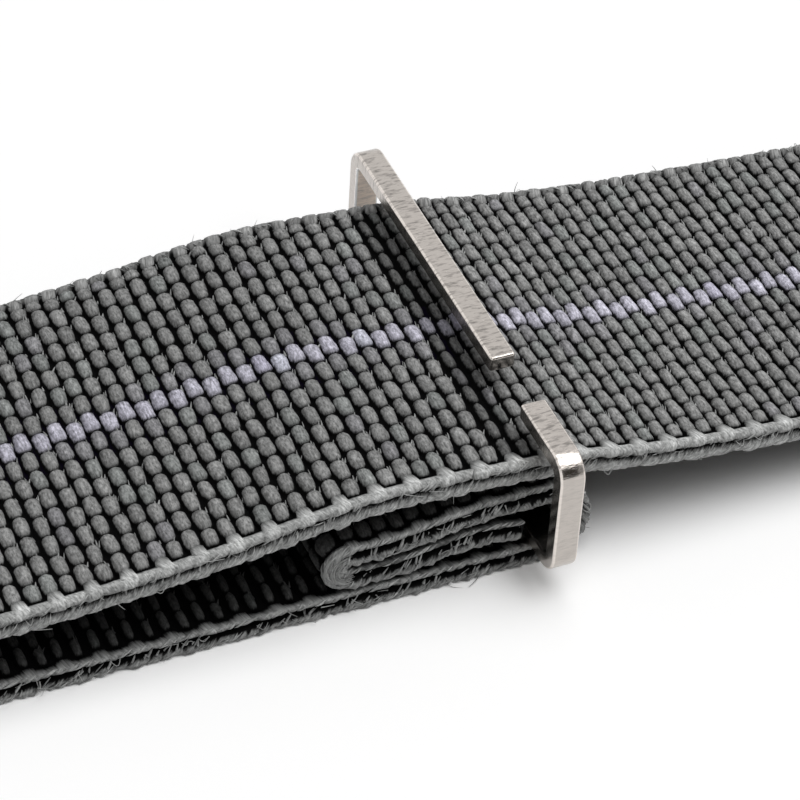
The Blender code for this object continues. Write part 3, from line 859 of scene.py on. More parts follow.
def weave_rope(stretch, band, face, edge_way, draws):
    """Grid of one selvedge rope on one face; edge_way is 1 at the rear edge and -1 at the front."""
    upper = stretch.outer > 0
    layer = 0 if upper else 1
    rear = upper and edge_way > 0
    shown = upper and face == 0
    rising = stretch.outer * FACE_SIGNS[face]
    along = stretch.rope_places()
    radius = band.rope_radius * stretch.thickness_share(along, face)
    radius = radius[:, None] * (REAR_ROPE_SHARE if rear and shown else 1.0)
    rise = ROPE_RISES[face] if upper and not rear else 0.0
    ragged = RAGGED_SHARES[layer] * raggedness(along, draws) * stretch.free
    bulge = np.where(stretch.valley, 0.0, np.sin(stretch.angle)) ** BULGE_POWER
    lump = bulge * (stretch.odd == (edge_way > 0)) * (1.0 if shown else FAINT_LUMP)
    uneven = draws.normal(0.0, ROPE_UNEVENNESS, stretch.columns)[stretch.column] * bulge
    size = between(REAR_ROPE_SIZES if rear else ROPE_SIZES, bulge) + LUMP_SIZE * lump + uneven + ragged
    turn = ROPE_ANGLES[None, :]
    wobble = ROPE_WOBBLE * raggedness(along, draws)[:, None]
    strand = np.sin(2 * np.pi * along[:, None] / ROPE_TWIST - ROPE_LAY * rising * turn + wobble)
    strand = strand * STRAND_SHARES_OF_TWIST[layer] * stretch.free[:, None]
    r = radius * (size[:, None] + STRAND_SWELL * strand)
    across = edge_way * (BAND_WIDTH / 2 - radius + ragged[:, None] * RAGGED_SWAY + r * np.cos(turn))
    height = np.minimum(rise - radius + r * np.sin(turn), rise + ROPE_HEADROOM[layer]) + BAND_THICK / 2
    across[:, 0] = edge_way * (ROPE_INNER[edge_way] - LUMP_REACH * lump)
    height[:, 0] = BAND_THICK / 2 - band.float_height * between(INNER_DEPTHS, lump)
    relief = between(ROPE_RELIEFS, np.sin(turn)) - STRAND_GROOVES[layer] * np.clip(-strand, 0, 1)
    relief = np.clip(relief, 0, 1) * (between(REAR_RELIEFS, bulge)[:, None] if rear else 1.0)
    relief[:, 0] = INNER_RELIEF + (INNER_BULGE_RELIEF * bulge if rear else 0) + INNER_LUMP_RELIEF * lump
    relief[:, -1] = SEAM_SIDE_RELIEFS[layer]

    # Painted shade: the lower layer's ropes darker than the upper layer's
    shade = draws.normal(ROPE_LAYER_PAINTED_SHADES[layer], ROPE_SHADE_SPREAD, stretch.columns)[stretch.column]
    # Painted light: the upper layer's inner rope, seen below the seam, lighter
    shade = shade * between(LUMP_SHADES, lump) * (UNDER_ROPE_PAINTED_LIGHT if upper and face else 1.0)
    up = np.clip(stretch.facing_up(along, face), 0, 1) * (stretch.outer < 0)
    # Painted shade: the flap's upward rope past the hem, under the strand, darker
    under_strand = stretch.past_hem(along, HEM_RADIUS) * up
    # Painted shade: the lower layers' upward ropes, inside the loop, darker
    shade = shade * (1 - (1 - UNDER_STRAND_PAINTED_SHADE) * under_strand) * (1 - LOWER_UP_PAINTED_SHADE * up)
    colour = np.array(band.yarn if rear else band.rope) * shade[:, None, None]
    colour = np.broadcast_to(colour, (*across.shape, 3))
    round_rope = turn * radius / MM
    wound = (along / MM)[:, None] * WOUND_SHARES[0] + round_rope * WOUND_SHARES[1]
    part = ROPE_NOISE_START + ROPE_NOISE_STEPS[0] * face + ROPE_NOISE_STEPS[1] * edge_way
    slant_share = np.where(stretch.valley, VALLEY_SLANT, 1.0)[:, None]
    slant = rising * ROPE_SLANT * radius * np.sin(turn) * slant_share
    return as_grid(along[:, None] + slant, across, height, relief, colour, (wound, round_rope, part))


def seam_line(stretch, band, edge_way):
    """Dark line between the two ropes of a selvedge, filled with yarn in the fold of a hem."""
    along = stretch.rope_places()[:, None]
    fill = np.maximum(stretch.hem_share(along), SEAM_FILL if stretch.outer > 0 else 0.0)
    across = edge_way * (BAND_WIDTH / 2 - SEAM_DEPTH * (1 - SEAM_LIFT * fill))
    rise = SEAM_RISE if stretch.outer > 0 and edge_way < 0 else 0.0
    colour = np.array(band.rope) * fill[..., None]
    height = np.full(along.shape, rise)
    return as_grid(along, across, height, SEAM_RELIEF * fill, colour, (along / MM, 0, 0))


def weave_faces(stretch, band, draws):
    """Grids of the outer and the inner face."""
    return [weave_face(stretch, band, face, draws) for face in (0, 1)]


def join_section(stretch, band):
    """All lines round the band: rear seam, outer face, front seam and inner face."""
    draws = np.random.default_rng([band.seed, stretch.seed])
    faces = weave_faces(stretch, band, draws)
    ropes = {(face, way): weave_rope(stretch, band, face, way, draws) for face in (0, 1) for way in (1, -1)}

    def turned(grid, reverse=False, under=False):
        made = {key: value[:, ::-1] if reverse else value for key, value in grid.items()}
        if under:
            made["height"] = -made["height"]
        return made

    grids = [
        seam_line(stretch, band, 1),
        turned(ropes[0, 1], reverse=True),
        faces[0],
        ropes[0, -1],
        seam_line(stretch, band, -1),
        turned(ropes[1, -1], reverse=True, under=True),
        turned(faces[1], reverse=True, under=True),
        turned(ropes[1, 1], under=True),
    ]
    return {key: np.concatenate([grid[key] for grid in grids], axis=1) for key in grids[0]}


def new_mesh(name, points, quads, material):
    """Mesh from arrays of points and faces; a face that repeats its last point is a triangle."""
    mesh = bpy.data.meshes.new(name)
    mesh.vertices.add(len(points))
    mesh.vertices.foreach_set("co", points.astype(np.float32).ravel())
    three = quads[:, 2] == quads[:, 3]
    sizes = np.where(three, 3, 4)
    keep = np.ones(quads.shape, bool)
    keep[three, 3] = False
    mesh.loops.add(int(sizes.sum()))
    mesh.loops.foreach_set("vertex_index", quads[keep].astype(np.int32))
    mesh.polygons.add(len(quads))
    starts = np.concatenate(([0], np.cumsum(sizes)[:-1]))
    mesh.polygons.foreach_set("loop_start", starts.astype(np.int32))
    mesh.update(calc_edges=True)
    mesh.shade_smooth()
    mesh.materials.append(material)
    return mesh, keep


def wall_quads(stations, around):
    """Quads of a closed tube's walls, station by station."""
    i, k = np.indices((stations - 1, around)).reshape(2, -1)
    here, there = i * around, (i + 1) * around
    after = (k + 1) % around
    return np.stack((here + k, here + after, there + after, there + k), -1)


def grid_faces(stations, around):
    """Faces of a closed tube whose two ends are paired across the section."""
    low = np.arange(around // 2)
    end = np.stack((low, low + 1, around - low - 1, (around - low) % around), -1)
    far = end[:, ::-1] + (stations - 1) * around
    return wall_quads(stations, around)[:, [0, 3, 2, 1]], tidy_ends(end), tidy_ends(far)


def tidy_ends(quads):
    """Turn quads that name a point twice into triangles."""
    tidy = []
    for quad in quads:
        seen = list(dict.fromkeys(quad.tolist()))
        tidy.append(seen + [seen[-1]] * (4 - len(seen)))
    return np.array(tidy)


def set_attribute(mesh, name, values):
    """Store one number, vector or colour per point."""
    flat = np.asarray(values, np.float32).ravel()
    kind, key = ATTRIBUTE_KINDS[flat.size // len(mesh.vertices)]
    mesh.attributes.new(name, kind, "POINT").data.foreach_set(key, flat)


def set_map(mesh, u, v):
    """Store the texture map, one pair of coordinates per corner."""
    pairs = np.stack((u, v), -1).astype(np.float32)
    mesh.uv_layers.new(name="OFBake").uv.foreach_set("vector", pairs.ravel())


def add_object(name, data):
    """Put a new object into the scene."""
    obj = bpy.data.objects.new(name, data)
    bpy.context.scene.collection.objects.link(obj)
    return obj


def weave(stretch, band, material):
    """The woven mesh of one stretch."""
    field = join_section(stretch, band)
    points = stretch.surface(field["along"], field["across"], field["height"])
    points[..., 2] = np.maximum(points[..., 2], 0.0)
    quads = np.vstack(grid_faces(*points.shape[:2]))
    if stretch.outer > 0:
        quads = np.where((quads[:, 2] == quads[:, 3])[:, None], quads[:, [1, 0, 2, 2]], quads[:, ::-1])
    mesh, keep = new_mesh(stretch.name, points.reshape(-1, 3), quads, material)
    set_attribute(mesh, "relief", field["relief"])
    set_attribute(mesh, "yarn", field["yarn"])
    set_attribute(mesh, "yarn_colour", np.insert(field["colour"], 3, 1.0, axis=-1))
    lay_out_map(mesh, field, quads, keep)
    return add_object(stretch.name, mesh)


def lay_out_map(mesh, field, quads, keep):
    """Texture map: the band unrolled, its length one way and the way round its section the other."""
    along, across, height = field["along"], field["across"], field["height"]
    stations, around = along.shape
    length = (along - along.min()) / (along.max() - along.min())
    step = np.hypot(*(np.diff(part[0], append=part[0, :1]) for part in (across, height)))
    round_way = np.concatenate(([0.0], np.cumsum(step))) / step.sum()
    station, line = np.divmod(quads, around)
    walls = np.arange(len(quads))[:, None] < (stations - 1) * around
    last = line.max(axis=1, keepdims=True) == around - 1
    depth = (height[station, line] / BAND_THICK + 0.5) * MAP_END_WIDTH
    end_start = np.where(station[:, :1] == 0, *MAP_END_STARTS)
    u = np.where(walls, between(MAP_WALLS, length[station, line]), end_start + depth)
    v = np.where((line == 0) & last, 1.0, round_way[line])
    v = np.where(walls, v, across[station, line] / BAND_WIDTH + 0.5)
    set_map(mesh, u[keep], v[keep])


def tube_faces(steps, sides):
    """Faces of one closed tube, and where each face's corners lie on its texture map."""
    k, j = np.indices((steps - 1, sides)).reshape(2, -1)
    u = np.stack((j, j + 1, j + 1, j), -1) / sides
    v = between(TUBE_MAP_WALLS, np.stack((k, k, k + 1, k + 1), -1) / (steps - 1))
    fan = np.array([(0, i, i + 1, min(i + 2, sides - 1)) for i in range(1, sides - 1, 2)])
    near = (sides - fan) % sides
    maps = [np.stack((u, v), -1)]
    for cap, height in zip((near, fan), TUBE_MAP_CAPS):
        turn = 2 * np.pi * cap / sides
        wide, high = TUBE_MAP_CAP_SIZE
        maps.append(np.stack((0.5 + wide * np.cos(turn), height + high * np.sin(turn)), -1))
    return np.vstack((wall_quads(steps, sides), near, fan + (steps - 1) * sides)), np.vstack(maps)


def tube_points(lines, radii, sides):
    """Points round many lines, their sections carried along without a twist."""
    ways = np.gradient(lines, axis=1)
    ways /= np.linalg.norm(ways, axis=2, keepdims=True)
    steep = np.abs(ways[:, 0, 2:]) > STEEP
    side = np.cross(ways[:, 0], np.where(steep, (0.0, 1.0, 0.0), (0.0, 0.0, 1.0)))
    first = np.empty_like(lines)
    for k in range(lines.shape[1]):
        side = side - np.sum(side * ways[:, k], axis=1, keepdims=True) * ways[:, k]
        side /= np.linalg.norm(side, axis=1, keepdims=True)
        first[:, k] = side
    second = np.cross(ways, first)
    turn = (2 * np.pi * np.arange(sides) / sides)[:, None]
    rim = first[:, :, None] * np.cos(turn) + second[:, :, None] * np.sin(turn)
    return lines[:, :, None] + radii[:, :, None, None] * rim


def tube_object(name, lines, radii, colours, sides, material):
    """Closed tubes along many lines of equally many points, as one object."""
    count, steps = lines.shape[:2]
    points = tube_points(lines, radii, sides)
    faces, face_maps = tube_faces(steps, sides)
    quads = (np.arange(count)[:, None, None] * steps * sides + faces).reshape(-1, 4)
    mesh, keep = new_mesh(name, points.reshape(-1, 3), quads, material)
    relief = np.ones(points.shape[:3])
    length = np.linspace(0, 1, steps)[None, :, None] * relief
    number = np.arange(count)[:, None, None] * relief
    shown = np.ones((*relief.shape, 4))
    shown[..., :3] = colours[:, None, None]
    set_attribute(mesh, "relief", relief)
    set_attribute(mesh, "yarn", np.stack((0 * length, length, FIBRE_NOISE_STEP * number), -1))
    set_attribute(mesh, "yarn_colour", shown)
    cells = math.ceil(math.sqrt(count))
    corner = np.stack(np.divmod(np.arange(count), cells), -1)[:, None, None]
    uv = ((corner + between(TUBE_MAP_CELL, face_maps)) / cells).reshape(-1, 4, 2)[keep]
    set_map(mesh, uv[:, 0], uv[:, 1])
    return add_object(name, mesh)


class FibreDraws:
    """Random draws for fibres of one kind, one draw for each fibre."""

    def __init__(self, draws, count):
        self.draws = draws
        self.count = count

    def even(self, low, high):
        """Spread evenly over a range."""
        return self.draws.uniform(low, high, (self.count, 1))

    def about(self, mean, spread):
        """Spread about a mean."""
        return self.draws.normal(mean, spread, (self.count, 1))


def edge_fibres(stretch, band, fibres, draws):
    """Fibres along both selvedges: wound round the ropes, across the seam, in loops and loose."""
    low, high = stretch.edges[0], stretch.edges[-1]
    s = FIBRE_STEPS
    half = BAND_WIDTH / 2
    made = []

    def start(rate):
        kind = FibreDraws(draws, round((high - low) / MM * rate))
        return kind, kind.even(low, high)

    for way in (1, -1):
        for face in (0, 1):
            kind, along = start(fibres.wraps)
            rope = band.rope_radius * stretch.thickness_share(along, face)
            turn = np.radians(kind.even(*WRAP_START_TURNS) * (1 - s) - kind.even(*WRAP_END_TURNS) * s)
            r = rope * kind.even(*WRAP_DEPTHS)
            across = half - rope + r * np.cos(turn)
            height = (BAND_THICK / 2 - rope + r * np.sin(turn)) * FACE_SIGNS[face]
            slide = stretch.outer * FACE_SIGNS[face] * (0.5 - s) * kind.about(*WRAP_LAY) * MM
            radius = fibres.radius * kind.even(*WRAP_THICKNESSES) * np.sin(np.pi * between(WRAP_TAPER, s))
            made.append((along + slide, way * across, height, radius))
        kind, along = start(fibres.crossings)
        up = np.sign(stretch.facing_up(along, 0))
        height = up * (kind.even(*CROSSING_REACHES) * s - CROSSING_START) * BAND_THICK
        across = half + (kind.even(*CROSSING_BOWS) * np.sin(np.pi * s) - CROSSING_DEPTH) * MM
        slide = stretch.outer * up * kind.about(*CROSSING_LAY) * s * MM
        radius = fibres.radius * kind.even(*WRAP_THICKNESSES) * np.sin(np.pi * between(CROSSING_TAPER, s))
        made.append((along + slide, way * across, height, radius))
        foot = half - FIBRE_FOOT
        kind, along = start(fibres.loops)
        bow = kind.even(*LOOP_BOWS) * np.sin(np.pi * s) * MM
        turn = np.radians(kind.about(*LOOP_TURN))
        place = kind.even(*LOOP_PLACES) * MM
        slide = (s - 0.5) * kind.even(*LOOP_LENGTHS) * MM
        radius = fibres.radius * kind.even(*LOOP_THICKNESSES) + 0 * s
        across, height = foot + bow * np.cos(turn), place + bow * np.sin(turn)
        made.append((along + slide, way * across, height, radius))
        kind, along = start(fibres.loose_ends)
        reach = kind.even(*LOOSE_REACHES) * s ** LOOSE_CURVE * MM
        turn = np.radians(kind.about(*LOOSE_TURN))
        place = kind.even(*LOOSE_PLACES) * MM
        slide = kind.about(*LOOSE_SLIDE) * s ** 2 * MM
        radius = fibres.radius * kind.even(*LOOSE_THICKNESSES) * (1 - LOOSE_THINNING * s)
        across, height = foot + reach * np.cos(turn), place + reach * np.sin(turn)
        made.append((along + slide, way * across, height, radius))
    return made


def hem_fibres(stretch, fibres, draws):
    """Fibres that lie round the fold of a hem, side by side, and fill its edge."""
    if stretch.hem is None:
        return []
    s = FIBRE_STEPS
    kind = FibreDraws(draws, 2 * HEM_FIBRES)
    way = np.where(np.arange(kind.count) % 2 == 0, 1, -1)[:, None]
    first, last = HEM_FIBRE_TURNS
    turn = kind.even(-last, -first) * (1 - s) + kind.even(first, last) * s
    height = kind.even(-0.5, 0.5) * (1 - HEM_FIBRE_CLOSING * s) * BAND_THICK
    across = BAND_WIDTH / 2 + (kind.even(*HEM_FIBRE_BOWS) * np.sin(np.pi * s) - CROSSING_DEPTH) * MM
    radius = fibres.radius * kind.even(*HEM_FIBRE_THICKNESSES) * np.sin(np.pi * between(HEM_FIBRE_TAPER, s))
    return [(stretch.hem + turn * HEM_RADIUS, way * across, height, radius)]


def cut_end_fibres(stretch, fibres, draws):
    """Short frayed ends at the band's two cut ends."""
    if stretch.hem is None:
        return []
    s = FIBRE_STEPS
    kind = FibreDraws(draws, CUT_END_FIBRES)
    across = kind.even(-0.5, 0.5) * BAND_WIDTH
    height = kind.even(-0.45, 0.45) * BAND_THICK
    along = stretch.edges[-1] + (kind.even(*CUT_END_REACHES) * s - CUT_END_DEPTH) * MM
    across = across + kind.about(*CUT_END_DRIFT) * s * MM
    radius = fibres.radius * kind.even(*CUT_END_THICKNESSES) * (1 - CUT_END_THINNING * s)
    return [(along, across, height + kind.about(*CUT_END_LIFT) * s * MM, radius)]


def float_fibres(stretch, faces, fibres, draws):
    """Fibres pulled up at the rear corner of every other column's floats, and a few on the rest."""
    s = FIBRE_STEPS
    made = []
    column, row = (numbers.ravel() for numbers in np.indices((stretch.columns, ROW_COUNT)))
    odd = stretch.odd_columns[column]
    for face, grid in enumerate(faces):
        for share, station, place in HORN_SPOTS:
            chosen = draws.random(odd.shape) < np.where(odd, share, EVEN_HORN_SHARE * share)
            at = (column[chosen] * LINES_PER_COLUMN + station, row[chosen] * len(ROW_STEP_SHARES) + place)
            kind = FibreDraws(draws, int(chosen.sum()))
            along, across, height = (grid[key][at][:, None] for key in ("along", "across", "height"))
            along = along + kind.about(*HORN_SLIDE) * s * MM
            across = across + (kind.even(*HORN_LENGTHS) * s - HORN_START) * MM
            rise = height - HORN_SINK * MM + kind.even(*HORN_RISES) * np.sin(HORN_ARCH * np.pi * s) * MM
            radius = fibres.radius * kind.even(*HORN_THICKNESSES) * (1 - HORN_THINNING * s)
            # Painted shade on the inner face's fibres, as on its floats
            shade = HORN_SHADE * (INNER_FACE_PAINTED_SHADE if face else 1.0)
            made.append((along, across, rise * FACE_SIGNS[face], radius, shade))
    return made


def raise_fibres(stretch, band, fibres, material):
    """All stray fibres of one stretch, as one piece."""
    draws = np.random.default_rng([fibres.seed, stretch.seed])
    faces = weave_faces(stretch, band, np.random.default_rng([band.seed, stretch.seed]))
    made = edge_fibres(stretch, band, fibres, draws) + hem_fibres(stretch, fibres, draws)
    made += cut_end_fibres(stretch, fibres, draws)
    made = [(*group, 1.0) for group in made] + float_fibres(stretch, faces, fibres, draws)
    along, across, height, radius = (np.vstack([group[i] for group in made]) for i in range(4))
    lines = stretch.surface(along, across, height)
    lines[..., 2] = np.maximum(lines[..., 2], radius)
    shade = draws.normal(1.0, FIBRE_SHADE_SPREAD, (len(lines), 1)).clip(*FIBRE_SHADE_LIMITS)
    shares = np.repeat([group[4] for group in made], [len(group[0]) for group in made])
    colours = np.array(band.rope) * shade * FIBRE_SHADE * shares[:, None]
    name = stretch.name.replace("woven", "fibres")
    return tube_object(name, lines, radius, colours, FIBRE_SIDES, material)


def stitch_rows(stretch, offsets, fibres, draws):
    """Centre lines of rows of stitches across the band, sunk between two columns of floats."""
    s = np.linspace(0, 1, STITCH_POINTS)[None, :]
    pitch = fibres.stitch_length + STITCH_GAP
    count = int((BAND_WIDTH - 2 * STITCH_MARGIN) / pitch)
    kind = FibreDraws(draws, count)
    first = -count * pitch / 2 + STITCH_GAP / 2
    dive = (1 - np.clip(np.minimum(s, 1 - s) / STITCH_BEND, 0, 1) ** 0.5) * STITCH_DIVE
    rows = []
    for offset in offsets:
        edge = stretch.edges[np.argmin(np.abs(stretch.edges[-1] - offset - stretch.edges))]
        start = first + pitch * np.arange(count)[:, None] + kind.about(0, STITCH_DRIFTS[0]) * MM
        across = start + fibres.stitch_length * s
        height = BAND_THICK / 2 - fibres.thread_radius - STITCH_SINK - dive
        along = edge + kind.about(0, STITCH_DRIFTS[1]) * MM + 0 * s
        rows.append(stretch.surface(along, across, height + 0 * across))
    return np.vstack(rows)


def new_material(name):
    """New node material, its tree and its shader."""
    material = bpy.data.materials.new(name)
    material.use_nodes = True
    tree = material.node_tree
    return material, tree, tree.nodes["Principled BSDF"]


def set_inputs(tree, node, inputs):
    """Link each input that is given a socket, and set the others to their plain values."""
    for key, value in inputs.items():
        if isinstance(value, bpy.types.NodeSocket):
            tree.links.new(value, node.inputs[key])
        else:
            node.inputs[key].default_value = value


def add_node(tree, kind, inputs, **settings):
    """Add a shader node with its settings, then set or link its inputs."""
    node = tree.nodes.new(kind)
    for key, value in settings.items():
        setattr(node, key, value)
    set_inputs(tree, node, inputs)
    return node


def attribute(tree, name, output="Fac"):
    """Socket that gives one of the points' attributes."""
    return add_node(tree, "ShaderNodeAttribute", {}, attribute_name=name).outputs[output]


def stretched_noise(tree, source, scale, detail, roughness=0.55):
    """Noise read at a vector stretched by scale."""
    mapping = add_node(tree, "ShaderNodeMapping", {"Vector": source, "Scale": scale})
    return add_node(tree, "ShaderNodeTexNoise", {
        "Vector": mapping.outputs["Vector"], "Scale": 1.0, "Detail": detail, "Roughness": roughness,
    }).outputs["Fac"]


def remap(tree, source, low, high, to_low, to_high):
    """Value moved from one range to another and kept inside it."""
    return add_node(tree, "ShaderNodeMapRange", {
        "Value": source, "From Min": low, "From Max": high, "To Min": to_low, "To Max": to_high,
    }).outputs["Result"]


def noise_tone(tree, noise, low, high, spread=0.20):
    """Noise that runs from low to high, where it lies within the spread about its mean of a half."""
    return remap(tree, noise, 0.5 - spread, 0.5 + spread, low, high)


def math_node(tree, operation, first, *others):
    """Sum, product or the like of two or more values, each a socket or a number."""
    for other in others:
        first = add_node(tree, "ShaderNodeMath", {0: first, 1: other}, operation=operation).outputs["Value"]
    return first


def mix_colours(tree, share, first, second, blend_type="MIX"):
    """Mix of two colours, each a socket or an RGBA."""
    inputs = dict(zip(MIX_COLOUR_INPUTS, (share, first, second)))
    node = add_node(tree, "ShaderNodeMix", inputs, data_type="RGBA", blend_type=blend_type)
    return node.outputs[MIX_COLOUR_OUTPUT]


def scaled(tree, colour, tone):
    """Colour made brighter or darker by a tone."""
    node = add_node(tree, "ShaderNodeVectorMath", {0: colour, "Scale": tone}, operation="SCALE")
    return node.outputs["Vector"]


def add_bump(tree, shader, height, strength, distance):
    """Fine relief of a surface."""
    bump = add_node(tree, "ShaderNodeBump", {"Strength": strength, "Distance": distance, "Height": height})
    tree.links.new(bump.outputs["Normal"], shader.inputs["Normal"])


def webbing_material(band):
    """Grey textured yarn floats over a dark ground weave."""
    material, tree, shader = new_material("webbing")
    yarn = attribute(tree, "yarn", "Vector")
    relief = attribute(tree, "relief")
    colour = attribute(tree, "yarn_colour", "Color")
    fibres = stretched_noise(tree, yarn, *YARN_FIBRE_NOISE)
    mottle = stretched_noise(tree, yarn, *YARN_MOTTLE_NOISE)
    edge = math_node(tree, "ADD", relief, noise_tone(tree, fibres, -YARN_EDGE_FRAY, YARN_EDGE_FRAY))
    cover = remap(tree, edge, *YARN_COVER_RANGE, 0.0, 1.0)
    streak = noise_tone(tree, fibres, *YARN_STREAK_TONES, 0.18)
    patch = noise_tone(tree, mottle, *YARN_PATCH_TONES, 0.18)
    # Painted shade and highlight: each float lighter on its crown and darker down its flanks
    crown_shade = remap(tree, relief, YARN_CROWN_SHADE_START, 1.0, *YARN_CROWN_PAINTED_SHADE)
    lit = scaled(tree, colour, math_node(tree, "MULTIPLY", streak, patch, crown_shade))
    dark = mix_colours(tree, 1.0, colour, (band.ground_share,) * 3 + (1,), "MULTIPLY")
    set_inputs(tree, shader, {
        "Base Color": mix_colours(tree, cover, dark, lit),
        "Roughness": remap(tree, cover, 0, 1, GROUND_ROUGHNESS, YARN_ROUGHNESS),
        "Specular IOR Level": YARN_GLOSS,
    })
    add_bump(tree, shader, fibres, *YARN_BUMP)
    return material


def fibre_material():
    """Loose yarn fibres, each of its own shade."""
    material, tree, shader = new_material("loose_fibres")
    yarn = attribute(tree, "yarn", "Vector")
    tone = noise_tone(tree, stretched_noise(tree, yarn, *LOOSE_FIBRE_NOISE), *LOOSE_FIBRE_TONES)
    set_inputs(tree, shader, {
        "Base Color": scaled(tree, attribute(tree, "yarn_colour", "Color"), tone),
        "Roughness": LOOSE_FIBRE_ROUGHNESS,
        "Specular IOR Level": LOOSE_FIBRE_GLOSS,
    })
    return material


def thread_material(name, colour):
    """Twisted sewing thread."""
    material, tree, shader = new_material(name)
    place = tree.nodes.new("ShaderNodeTexCoord").outputs["Object"]
    twist = stretched_noise(tree, place, *THREAD_NOISE)
    set_inputs(tree, shader, {
        "Base Color": scaled(tree, colour, noise_tone(tree, twist, *THREAD_TONES)),
        "Roughness": THREAD_ROUGHNESS,
        "Specular IOR Level": THREAD_GLOSS,
    })
    add_bump(tree, shader, twist, *THREAD_BUMP)
    return material


def steel_material(name, metal):
    """Satin steel with short marks brushed across it."""
    material, tree, shader = new_material(name)
    brush = attribute(tree, "brush", "Vector")
    worn, edge, inner, tint = (attribute(tree, key) for key in ("worn", "edge", "inner", "tint"))
    marks, fine, cloud = (stretched_noise(tree, brush, *noise) for noise in STEEL_NOISES)
    depth = math_node(tree, "MULTIPLY", remap(tree, marks, *MARK_RANGE, MARK_DARKNESS, 0.0), worn)
    dark = math_node(tree, "SUBTRACT", 1.0, depth)
    line = noise_tone(tree, fine, *BRUSH_TONES)
    # Rolled edges lighter: partly polish from wear, partly a painted highlight
    bright = math_node(tree, "ADD", math_node(tree, "MULTIPLY", edge, EDGE_WEAR_AND_HIGHLIGHT), line)
    satin = remap(tree, edge, 0.0, 1.0, metal.roughness, metal.roughness - EDGE_POLISH)
    uneven = noise_tone(tree, cloud, -CLOUD_ROUGHNESS, CLOUD_ROUGHNESS)
    dull = math_node(tree, "MULTIPLY", inner, INNER_ROUGHNESS)
    set_inputs(tree, shader, {
        # Painted light and shade from the points' attribute: the ring's rear leg lighter, its lower bar
        # inside the band's fold darker
        "Base Color": scaled(tree, metal.colour, math_node(tree, "MULTIPLY", dark, bright, tint)),
        "Metallic": 1.0,
        "Roughness": math_node(tree, "ADD", uneven, satin, dull),
    })
    cut = math_node(tree, "MULTIPLY", marks, worn, MARK_DEPTH)
    brushed = math_node(tree, "MULTIPLY", fine, BRUSH_DEPTH)
    add_bump(tree, shader, math_node(tree, "ADD", cut, brushed), *STEEL_BUMP)
    return material


def place_stretch(piece, stretch):
    """Attach a piece to its stretch's body where the stretch has one; a piece that spans two bodies stays
    where it lies.
    """
    if len(stretch.bodies) == 1:
        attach(piece, stretch.bodies[0])
        return
    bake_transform(piece)


def even_edges(low, high, column):
    """Edges of columns as near to a width as fit between two places."""
    return np.linspace(low, high, round((high - low) / column) + 1)


def strap_stretches():
    """The band's stretches in order along the strip, from the upper layer's left end."""
    upper = upper_line()
    cuts = [column_near(x) for x in (-LEAD_REACH, -CROSSING_BACK, CROSSING_AHEAD, FEED_END, END_REACH)]
    stretches = []
    for piece, first, last in zip(UPPER_PIECES, cuts, cuts[1:]):
        x = np.array([column_edge(i) for i in range(first, last + 1)])
        edges, span = upper.length_at(x), (x[0], x[-1])
        stretches.append(Stretch(piece, upper, edges, first, 1, zone_share(x), len(stretches), span))
    edges = even_edges(upper.length_at(column_edge(cuts[-1])), upper.lengths[-1], FEED_COLUMN)
    hem = upper.leftmost(edges[0])
    zones = np.ones(len(edges))
    stretches.append(Stretch(CATCH_PIECE, upper, edges, cuts[-1], 1, zones, len(stretches), hem=hem))

    counted = cuts[0]
    span = (column_edge(counted), -TAIL_LENGTH - TAIL_REACH_UNDER)
    lower = lower_line(span[0])
    table_start = lower.points[:, 0].argmin()
    table = slice(table_start, table_start + ARC_STEPS // 2 + 2)
    marks = [0.0, *np.interp(span, lower.points[table, 0], lower.lengths[table]), lower.lengths[-1]]
    for piece, low, high in zip(LOWER_PIECES, marks, marks[1:]):
        edges = even_edges(low, high, LOOP_COLUMN)
        hem = lower.leftmost(high - 2 * TAIL_LENGTH) if high == marks[-1] else None
        zones = np.zeros(len(edges))
        stretches.append(Stretch(piece, lower, edges, counted, -1, zones, len(stretches), span, hem))
        counted += len(edges) - 1
    return stretches





def strip_section(width, thick, rounding, steps=4):
    """Closed section of a strip: across its thickness and across its width."""
    a, b = thick / 2 - rounding, width / 2 - rounding
    points = []
    for (x, y), start in (((a, b), 0), ((-a, b), 90), ((-a, -b), 180), ((a, -b), 270)):
        points += arc((x, y), rounding, start, start + 90, steps)
    return np.array(points)


def ring_corner(metal):
    """Where the middles of the ring's rounded corners lie: to the side, below and above."""
    reach = RING_INNER_RADIUS + metal.strip_thickness
    return RING_WIDTH / 2 - reach, RING_BOTTOM + reach, RING_TOP - reach


def ring_line(metal):
    """Middle line of the ring's strip, Y and Z, from one side of its slit round to the other."""
    side, low, high = ring_corner(metal)
    radius = RING_INNER_RADIUS + metal.strip_thickness / 2
    top = RING_TOP - metal.strip_thickness / 2
    points = [(metal.gap_place + metal.gap_width / 2, top)]
    points += [(side * share, top) for share in RING_TOP_SHARES]
    for turn, centre in enumerate(((side, high), (side, low), (-side, low), (-side, high))):
        points += arc(centre, radius, 90 - 90 * turn, -90 * turn, RING_CORNER_STEPS)
    return MiddleLine(points + [(metal.gap_place - metal.gap_width / 2, top)])


